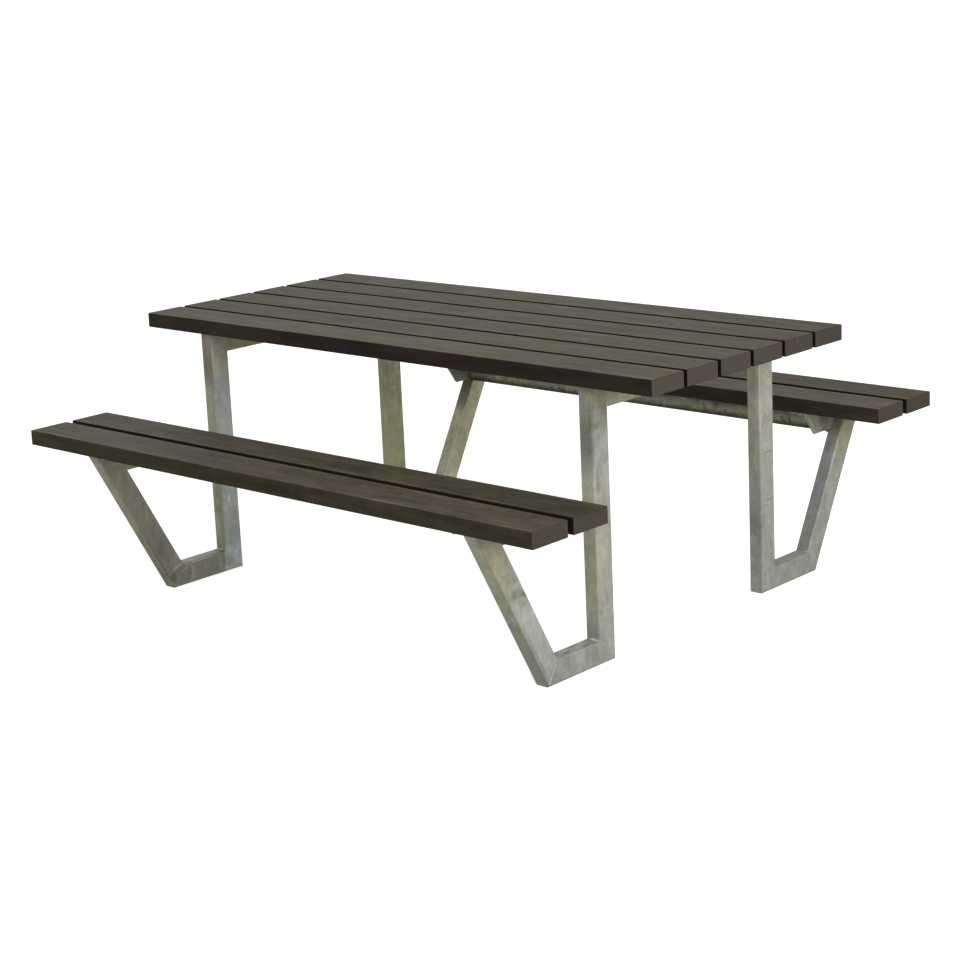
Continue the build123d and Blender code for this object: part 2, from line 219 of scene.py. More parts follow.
# --------------------------------------------------------------------------
# materials
# --------------------------------------------------------------------------
def board_material(name, seed, top, side, end, box, gaps, spec=0.3, marks=()):
    """Dark recycled-plastic and wood-fibre board: weathered grey-brown on top, darker and
    browner on its sides, paler and rougher on its sawn ends, with brushed grain along X."""
    m = bpy.data.materials.new(name)
    m.use_nodes = True
    t = Tree(m.node_tree)
    tc = t.add("ShaderNodeTexCoord")
    p = tc.outputs["Object"]
    nx, ny, nz = t.sep(tc.outputs["Normal"])
    off = (seed * 3.17, seed * 1.31, seed * 2.03)

    # where the surface faces
    is_top = t.step(nz, 0.72, 0.96)
    is_end = t.step(t.math("ABSOLUTE", nx), 0.5, 0.9)

    # long brushed grain, blotches a hand wide, fine speckle
    grain = t.noise(t.place(p, (4.0, 170.0, 170.0), off), 1.0, 3.0, 0.55, 0.15)
    grain2 = t.noise(t.place(p, (18.0, 560.0, 560.0), off), 1.0, 2.0, 0.6)
    wide = t.noise(t.place(p, (1.6, 8.0, 8.0), off), 1.0, 4.0, 0.6, 0.4)
    blot = t.noise(t.place(p, (9.0, 24.0, 24.0), off), 1.0, 5.0, 0.65, 0.6)
    streak = t.noise(t.place(p, (6.0, 38.0, 38.0), (off[2], off[0], off[1])), 1.0, 4.0, 0.6, 0.3)
    clot = t.noise(t.place(p, (55.0, 42.0, 42.0), (off[1], off[2], off[0])), 1.0, 4.0, 0.7, 0.4)
    speck = t.noise(t.place(p, (0.6, 1, 1), off), 800.0, 2.0, 0.7)
    fibre = t.noise(t.place(p, (150.0, 190.0, 190.0), off), 1.0, 4.0, 0.7)
    chips = t.cells(t.place(p, (170.0, 230.0, 230.0), off), 1.0, "Color", "F1", 1.0)

    col = t.mix(is_top, side, top)
    col = t.mix(is_end, col, end)
    shade = t.math("MULTIPLY_ADD", t.math("SUBTRACT", wide, 0.5), 0.46, 1.0)
    shade = t.math("MULTIPLY_ADD", t.math("SUBTRACT", blot, 0.5), 1.35, shade)
    shade = t.math("MULTIPLY_ADD", t.math("SUBTRACT", clot, 0.5), 0.85, shade)
    shade = t.math("MULTIPLY_ADD", t.math("SUBTRACT", streak, 0.5), 1.6, shade)
    shade = t.math("MULTIPLY_ADD", t.math("SUBTRACT", grain, 0.5), 0.50, shade)
    shade = t.math("MULTIPLY_ADD", t.math("SUBTRACT", grain2, 0.5), 0.24, shade)
    shade = t.math("MULTIPLY_ADD", t.math("SUBTRACT", speck, 0.5), 0.30, shade)
    end_shade = t.math("MULTIPLY_ADD", t.math("SUBTRACT", fibre, 0.5), 0.45,
                       t.math("MULTIPLY_ADD", t.math("SUBTRACT", t.sep(chips)[0], 0.5), 0.16, 1.0))
    shade = t.math("MULTIPLY_ADD", is_end, t.math("SUBTRACT", end_shade, shade), shade)
    col = t.mix(1.0, col, t.grey(shade), "MULTIPLY")
    # light brown and cool grey drift along the board
    tone = t.noise(t.place(p, (3.0, 15.0, 15.0), (off[1], off[0], off[2])), 1.0, 4.0, 0.55)
    col = t.mix(t.lin(tone, 0.48, 0.64, 0.0, 1.0), col,
                t.mix(1.0, col, (1.035, 0.995, 0.96), "MULTIPLY"))
    col = t.mix(t.lin(tone, 0.50, 0.36, 0.0, 1.0), col,
                t.mix(1.0, col, (0.975, 1.005, 1.01), "MULTIPLY"))
    # a paler strip along the long edges of the upper face, broken up: partly hand wear, partly painted highlight where
    # the eased edges catch light
    y = t.sep(p)[1]
    e0, e1 = t.math("SUBTRACT", y, box[0].y), t.math("SUBTRACT", box[1].y, y)
    edge = t.math("MINIMUM", e0, e1)
    edge_rub_and_highlight = t.math("MULTIPLY", t.math("MULTIPLY", is_top, t.step(edge, 0.016, 0.006)),
                 t.lin(streak, 0.36, 0.62, 0.3, 1.0))
    col = t.mix(edge_rub_and_highlight, col, t.mix(1.0, col, (1.42, 1.40, 1.36), "MULTIPLY"))
    # painted shade and dirt in the gaps between boards, creeping over the eased arris
    for on, e in zip(gaps, (e0, e1)):
        if on:
            k = t.math("MULTIPLY", t.step(e, 0.0036, 0.0016), t.math("SUBTRACT", 1.0, is_end))
            col = t.mix(k, col, t.mix(1.0, col, (0.24, 0.19, 0.12), "MULTIPLY"))
    # the long sides a little darker below their upper 2 to 16 mm
    low = t.math("MULTIPLY", t.step(t.sep(p)[2], box[1].z - 0.002, box[1].z - 0.016),
                 t.math("SUBTRACT", 1.0, t.math("MAXIMUM", is_top, is_end)))
    col = t.mix(low, col, t.mix(1.0, col, (0.94, 0.95, 0.96), "MULTIPLY"))
    # thin pale drag lines from brushing
    drag = t.noise(t.place(p, (2.6, 330.0, 330.0), (off[1], off[2], off[0])), 1.0, 2.0, 0.5, 0.1)
    col = t.mix(t.step(drag, 0.60, 0.72, 0.0, 0.5), col, t.mix(1.0, col, (1.28, 1.25, 1.18), "MULTIPLY"))
    # dark fibre flecks and pale chips of filler
    fleck = t.cells(t.place(p, (55.0, 130.0, 130.0), off), 1.0, "Distance")
    col = t.mix(t.step(fleck, 0.11, 0.04, 0.0, 0.45), col, t.mix(1.0, col, (0.50, 0.46, 0.44), "MULTIPLY"))
    pale = t.cells(t.place(p, (38.0, 60.0, 60.0), (off[2], off[1], off[0])), 1.0, "Distance")
    col = t.mix(t.step(pale, 0.070, 0.030, 0.0, 0.75), col, t.mix(1.0, col, (2.1, 2.0, 1.75), "MULTIPLY"))
    # arrises: here and there the long edges are paler, partly rubbed by wear and partly a painted highlight where they
    # catch light
    arris = t.math("MULTIPLY", t.step(nz, 0.30, 0.60), t.step(nz, 0.97, 0.80))
    col = t.mix(t.math("MULTIPLY", arris, t.lin(blot, 0.52, 0.72, 0.0, 0.7)), col,
                t.mix(1.0, col, (1.9, 1.85, 1.75), "MULTIPLY"))
    wob = t.vmath("SUBTRACT", t.noise(p, 60.0, 3.0, 0.6, 0.0, "Color"), (0.5, 0.5, 0.5))
    for mk in marks:
        k = blemish(t, p, wob, *mk["at"], **mk["opt"])
        col = t.mix(t.math("MULTIPLY", k, mk["amount"]), col, t.mix(1.0, col, mk["tint"], "MULTIPLY"))

    rough = t.lin(t.math("ADD", t.math("MULTIPLY", blot, 0.6), t.math("MULTIPLY", grain, 0.4)),
                  0.3, 0.7, 0.40, 0.68)
    rough = t.math("MULTIPLY_ADD", is_end, 0.22, rough)
    rough = t.math("MULTIPLY_ADD", t.math("SUBTRACT", 1.0, t.math("MAXIMUM", is_top, is_end)), 0.16, rough)

    h = t.math("ADD", t.math("MULTIPLY", grain, 0.7), t.math("MULTIPLY", grain2, 0.5))
    h = t.math("MULTIPLY_ADD", speck, 0.35, h)
    h_end = t.math("MULTIPLY", fibre, 1.6)
    h = t.math("MULTIPLY_ADD", is_end, t.math("SUBTRACT", h_end, h), h)
    n1 = bump(t, h, 0.5, 0.0006)
    n2 = bump(t, t.math("ADD", wide, t.math("MULTIPLY", streak, 0.4)), 0.25, 0.004, n1)
    b = principled(t, Base_Color=col, Roughness=rough, Normal=n2)
    b.inputs["Specular IOR Level"].default_value = spec
    b.inputs["Specular Tint"].default_value = (1.0, 0.96, 0.88, 1.0)
    b.inputs["IOR"].default_value = 1.5
    return m


def zinc_material(name, seed, base, dark, pale, rough=(0.50, 0.68), metallic=0.45, patches=1.0,
                  under=None, corner=0.93, marks=()):
    """Hot-dip galvanised steel, some years old: dull grey with soft clouds, faint spangle,
    vertical runs, and a yellow-green bloom."""
    m = bpy.data.materials.new(name)
    m.use_nodes = True
    t = Tree(m.node_tree)
    tc = t.add("ShaderNodeTexCoord")
    p = tc.outputs["Object"]
    off = (seed * 1.7, seed * 0.9, seed * 2.3)
    q = t.place(p, (1, 1, 1), off)

    cloud = t.noise(t.place(p, (14.0, 14.0, 9.0), off), 1.0, 5.0, 0.6, 0.5)
    patch = t.noise(t.place(p, (5.0, 5.0, 4.0), off), 1.0, 3.0, 0.5, 0.3)
    mott = t.noise(t.place(p, (60.0, 60.0, 42.0), off), 1.0, 4.0, 0.6, 0.3)
    warp = t.noise(q, 40.0, 2.0, 0.5, 0.0, "Color")
    qq = t.vmath("ADD", q, t.vmath("SCALE", warp))
    qq.node.inputs[1].links[0].from_node.inputs["Scale"].default_value = 0.012
    spang = t.sep(t.cells(qq, 85.0, "Color"))[0]
    spang2 = t.sep(t.cells(qq, 210.0, "Color"))[1]
    fine = t.noise(q, 700.0, 3.0, 0.7)
    run = t.noise(t.place(p, (90.0, 90.0, 5.0), off), 1.0, 3.0, 0.6, 0.2)

    v = t.math("MULTIPLY_ADD", t.math("SUBTRACT", cloud, 0.5), 2.0 * patches, 0.5)
    v = t.math("MULTIPLY_ADD", t.math("SUBTRACT", mott, 0.5), 1.5 * patches, v)
    v = t.math("MULTIPLY_ADD", t.math("SUBTRACT", run, 0.5), 0.5, v)
    v = t.math("MULTIPLY_ADD", t.math("SUBTRACT", spang, 0.5), 0.22, v)
    v = t.math("MULTIPLY_ADD", t.math("SUBTRACT", spang2, 0.5), 0.12, v, True)
    col = t.mix(t.step(v, 0.0, 0.5), dark, base)
    col = t.mix(t.step(v, 0.5, 1.0), col, pale)
    col = t.mix(t.lin(patch, 0.38, 0.66, 0.0, 0.55), col, t.mix(1.0, col, (1.03, 1.0, 0.84), "MULTIPLY"))
    # white bloom in small drifts
    bloom = t.noise(t.place(p, (70.0, 70.0, 46.0), (off[2], off[1], off[0])), 1.0, 3.0, 0.6, 0.8)
    col = t.mix(t.step(bloom, 0.62, 0.74, 0.0, 0.6), col, t.mix(1.0, col, (1.22, 1.24, 1.30), "MULTIPLY"))
    # dull darker smudges and thin pale scratches
    smudge = t.noise(t.place(p, (24.0, 24.0, 24.0), (off[1], off[2], off[0])), 1.0, 5.0, 0.65, 1.2)
    col = t.mix(t.step(smudge, 0.60, 0.72, 0.0, 0.55), col, t.mix(1.0, col, (0.76, 0.78, 0.77), "MULTIPLY"))
    scr = t.noise(t.place(p, (260.0, 260.0, 9.0), (off[2], off[0], off[1])), 1.0, 2.0, 0.5, 0.1)
    col = t.mix(t.step(scr, 0.70, 0.76, 0.0, 0.35), col, t.mix(1.0, col, (1.25, 1.25, 1.22), "MULTIPLY"))
    col = t.mix(1.0, col, t.grey(t.math("MULTIPLY_ADD", t.math("SUBTRACT", fine, 0.5), 0.20, 1.0)), "MULTIPLY")

    r = t.math("MULTIPLY_ADD", spang, 0.25, t.math("MULTIPLY", cloud, 0.75))
    rg = t.lin(r, 0.2, 0.8, rough[0], rough[1])
    wob = t.vmath("SUBTRACT", t.noise(q, 38.0, 4.0, 0.6, 0.0, "Color"), (0.5, 0.5, 0.5))
    if under:
        # painted shade: the lower side is darkened as if it faced a dark ground, with a ragged limit
        nz = t.sep(tc.outputs["Normal"])[2]
        k = t.math("MULTIPLY_ADD", t.math("SUBTRACT", mott, 0.5), 0.55, nz)
        col = t.mix(t.step(k, under[0], under[1]), col, t.mix(1.0, col, under[2], "MULTIPLY"))
    for mk in marks:
        k = blemish(t, p, wob, *mk["at"], **mk["opt"])
        col = t.mix(t.math("MULTIPLY", k, mk["amount"]), col, t.mix(1.0, col, mk["tint"], "MULTIPLY"))
        if mk["rough"]:
            rg = t.math("MULTIPLY_ADD", k, mk["rough"], rg)

    # painted shade on the rounded long corners of the tube, dimming the highlight they catch
    nx = t.math("ABSOLUTE", t.sep(tc.outputs["Normal"])[0])
    corner_shade_mask = t.math("MULTIPLY", t.step(nx, 0.10, 0.35), t.step(nx, 0.985, 0.90))
    col = t.mix(corner_shade_mask, col, t.mix(1.0, col, (corner, corner, corner * 0.97), "MULTIPLY"))

    h = t.math("ADD", t.math("MULTIPLY", mott, 1.0), t.math("MULTIPLY", fine, 0.25))
    n1 = bump(t, h, 0.30, 0.0008)
    n2 = bump(t, t.math("ADD", cloud, t.math("MULTIPLY", run, 0.6)), 0.25, 0.002, n1)
    b = principled(t, Base_Color=col, Roughness=rg, Normal=n2, Metallic=metallic)
    return m


def weld_material(name, seed):
    """Weld metal under the zinc: brighter and smoother than the tube, bluish."""
    m = bpy.data.materials.new(name)
    m.use_nodes = True
    t = Tree(m.node_tree)
    tc = t.add("ShaderNodeTexCoord")
    p = tc.outputs["Object"]
    q = t.place(p, (1, 1, 1), (seed, seed * 2.0, seed * 0.5))
    a = t.noise(q, 90.0, 4.0, 0.6, 0.5)
    f = t.noise(q, 900.0, 3.0, 0.7)
    col = t.mix(t.step(a, 0.3, 0.7), (0.26, 0.27, 0.26), (0.42, 0.43, 0.42))
    col = t.mix(1.0, col, t.grey(t.math("MULTIPLY_ADD", t.math("SUBTRACT", f, 0.5), 0.3, 1.0)), "MULTIPLY")
    n1 = bump(t, t.math("ADD", a, t.math("MULTIPLY", f, 0.3)), 0.35, 0.0008)
    principled(t, Base_Color=col, Roughness=t.lin(a, 0.3, 0.7, 0.36, 0.55), Normal=n1, Metallic=0.6)
    return m


def fastener_material(name):
    """Zinc-plated screws: cleaner and brighter, fine turned marks."""
    m = bpy.data.materials.new(name)
    m.use_nodes = True
    t = Tree(m.node_tree)
    tc = t.add("ShaderNodeTexCoord")
    p = tc.outputs["Object"]
    a = t.noise(p, 160.0, 4.0, 0.6, 0.4)
    f = t.noise(t.place(p, (1500.0, 1500.0, 400.0)), 1.0, 2.0, 0.6)
    col = t.mix(t.step(a, 0.3, 0.72), (0.40, 0.40, 0.38), (0.62, 0.62, 0.60))
    n1 = bump(t, f, 0.25, 0.0003)
    principled(t, Base_Color=col, Roughness=t.lin(a, 0.3, 0.7, 0.25, 0.45), Normal=n1, Metallic=0.85)
    return m


def give(node, material):
    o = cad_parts[node]
    if not o.data.materials:
        o.data.materials.append(material)
    for s in o.material_slots:
        s.material = material


def mm(*v):
    return tuple(c / 1000.0 for c in v)


def mark(centre, u, v, half, tint, amount=1.0, rough=0.0, **opt):
    return {"at": (mm(*centre), u, v, mm(*half)), "tint": tint, "amount": amount, "rough": rough,
            "opt": opt}


Y_, Z_, X_ = (0, 1, 0), (0, 0, 1), (1, 0, 0)

TOP_COL = (0.0695, 0.0605, 0.0332)
SIDE_COL = (0.0185, 0.0120, 0.0096)
END_COL = (0.0530, 0.0440, 0.0360)
B_TOP_COL = (0.0680, 0.0570, 0.0355)
B_SIDE_COL = (0.0290, 0.0240, 0.0140)
B_END_COL = (0.0480, 0.0400, 0.0300)
BOARD_SPEC = 0.2
# per-board brightness of the bench tops is painted light and shade: the rear inner board is lightened where little
# blocks its light, the front inner board darkened in the table's shade
BENCH_LIGHT_K = {"front_inner": 0.95, "front_outer": 1.04, "rear_inner": 1.44, "rear_outer": 0.96}

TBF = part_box("table_board_1")[0].y * 1000.0        # front face of the front board
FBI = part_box("front_bench_inner_board")
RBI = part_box("rear_bench_inner_board")
BOARD_MARKS = {
    "table_board_1": [
        mark((-640, TBF, 695), X_, Z_, (300, 40), (1.36, 1.64, 1.38), 0.9, reach=0.005, kind="box", soft=0.5),
        mark((20, TBF, 695), X_, Z_, (400, 40), (0.95, 0.90, 1.12), 0.9, reach=0.005, kind="box", soft=0.3),
        mark((660, TBF, 695), X_, Z_, (70, 40), (0.98, 0.98, 1.18), 0.9, reach=0.005, soft=0.8),
        mark((810, TBF, 695), X_, Z_, (95, 40), (1.02, 1.26, 1.16), 0.9, reach=0.005, kind="box", soft=0.5),
        mark((0, TBF + 60, 715), X_, Y_, (420, 40), (1.14, 1.09, 1.02), 0.7, reach=0.004, soft=0.9, warp=0.08),
        mark((-700, TBF + 60, 715), X_, Y_, (120, 40), (1.22, 1.24, 1.22), 0.7, reach=0.004, soft=0.9, warp=0.08),
        mark((700, TBF + 60, 715), X_, Y_, (175, 60), (0.76, 0.70, 0.61), 1.0, reach=0.004, soft=0.9, warp=0.08),
    ],
    "table_board_6": [
        mark((885, 370, 695), Y_, Z_, (90, 60), (0.84, 0.84, 0.92), 0.9, reach=0.004, kind="box", soft=0.1),
    ],
    "front_bench_inner_board": [
        # painted shade: the right part of the inner board's top is darkened, standing in for the table's shadow and a
        # weaker sheen
        mark((700, (FBI[0].y + FBI[1].y) * 500, FBI[1].z * 1000), X_, Y_, (260, 120), (0.78, 0.80, 0.80), 1.0,
             reach=0.006, kind="box", soft=0.6),
    ],
    "rear_bench_inner_board": [
        mark((0, RBI[0].y * 1000, RBI[0].z * 1000 + 20), X_, Z_, (1200, 60), (1.10, 1.10, 1.36), 1.0,
             reach=0.006, kind="box", soft=0.05),
        mark((150, RBI[0].y * 1000, RBI[0].z * 1000 + 20), X_, Z_, (200, 60), (1.05, 0.95, 1.10), 1.0,
             reach=0.006, soft=0.9),
    ],
    "table_board_3": [mark((336, -71, 715), X_, Y_, (30, 9), (1.30, 1.05, 0.80), 0.8,
                           reach=0.004, soft=0.9, warp=0.02)],
    "table_board_5": [mark((885, 190, 710), Y_, Z_, (3.0, 2.0), (3.2, 2.8, 1.6), 0.9, reach=0.004, soft=0.5)],
}
for i in range(6):
    k = (1.07, 0.98, 0.96, 0.98, 0.96, 0.99)[i]
    n = f"table_board_{i + 1}"
    give(n, board_material(n + "_composite", i + 1.0, tuple(c * k for c in TOP_COL), SIDE_COL,
                           tuple(c * (1.06, 1.04, 1.02, 1.00, 0.89, 0.96)[i] for c in END_COL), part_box(n), (i > 0, i < 5), BOARD_SPEC,
                           marks=BOARD_MARKS.get(n, ())))
i = 0
for end, sy in ENDS:
    for place in ("inner", "outer"):
        i += 1
        n = f"{end}_bench_{place}_board"
        k = BENCH_LIGHT_K[f"{end}_{place}"]
        give(n, board_material(n + "_composite", 10.0 + i, tuple(c * k for c in B_TOP_COL),
                               tuple(c * (1.16 if n == "front_bench_outer_board" else 1.0) for c in B_SIDE_COL),
                               tuple(c * (0.92 if n == "rear_bench_outer_board" else 1.0) for c in B_END_COL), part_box(n), ((place == "outer") == (sy > 0), (place == "outer") == (sy < 0)),
                               BOARD_SPEC, marks=BOARD_MARKS.get(n, ())))

ZINC = (0.385, 0.385, 0.352)


def zinc_set(k, tint=(1.0, 1.0, 1.0)):
    """base, dark and pale of one piece"""
    return tuple(tuple(c * k * f * g for c, g in zip(ZINC, tint)) for f in (1.0, 0.78, 1.22))


COOL, OLIVE = (0.98, 1.01, 1.07), (1.03, 1.02, 0.86)
# brightness and tint of each part's zinc, fitted part by part: partly the zinc's own tone, partly painted shade, as on
# the dark left front foot and diagonal that sit under the bench
ZINC_TONE_AND_SHADE_K = {
    "right_front_leg": (0.92, (1.0, 1.0, 1.01)), "right_front_diagonal": (1.05, (1.0, 0.99, 0.96)),
    "right_front_foot": (0.84, (0.98, 1.0, 1.04)), "left_front_leg": (1.05, (1.0, 1.0, 0.99)),
    "left_front_diagonal": (0.74, (1.04, 0.99, 0.93)), "left_front_foot": (0.51, (1.0, 0.98, 0.93)),
    "right_rear_leg": (0.88, (0.99, 1.0, 1.02)), "right_rear_diagonal": (0.81, (1.0, 1.0, 0.98)),
    "right_rear_foot": (0.72, (0.98, 1.0, 1.05)), "left_rear_leg": (0.82, OLIVE), "left_rear_diagonal": (1.16, OLIVE),
    "left_rear_foot": (0.85, OLIVE), "right_top_bearer": (1.02, (1.01, 1.0, 0.96)),
    "left_top_bearer": (0.92, (1.08, 1.0, 0.84)),
    "right_front_seat_angle": (0.90, COOL), "left_front_seat_angle": (0.80, OLIVE),
    "right_rear_seat_angle": (0.96, (1.0, 0.99, 0.92)), "left_rear_seat_angle": (0.75, (1.0, 1.0, 1.0)),
}
DIAG_IN_AT = lambda z: (LEAN_AT(z) - DIAG_W) * 1000.0
DG = (0, math.sin(LEAN), math.cos(LEAN))            # up along a rear diagonal
DGF = (0, -math.sin(LEAN), math.cos(LEAN))          # up along a front diagonal
XO, XI = TUBE_X1 * 1000.0, TUBE_X0 * 1000.0
GREY, DARK, LIGHT, BLUE = (0.86, 0.90, 0.94), (0.62, 0.64, 0.66), (1.22, 1.22, 1.20), (0.88, 0.93, 1.0)
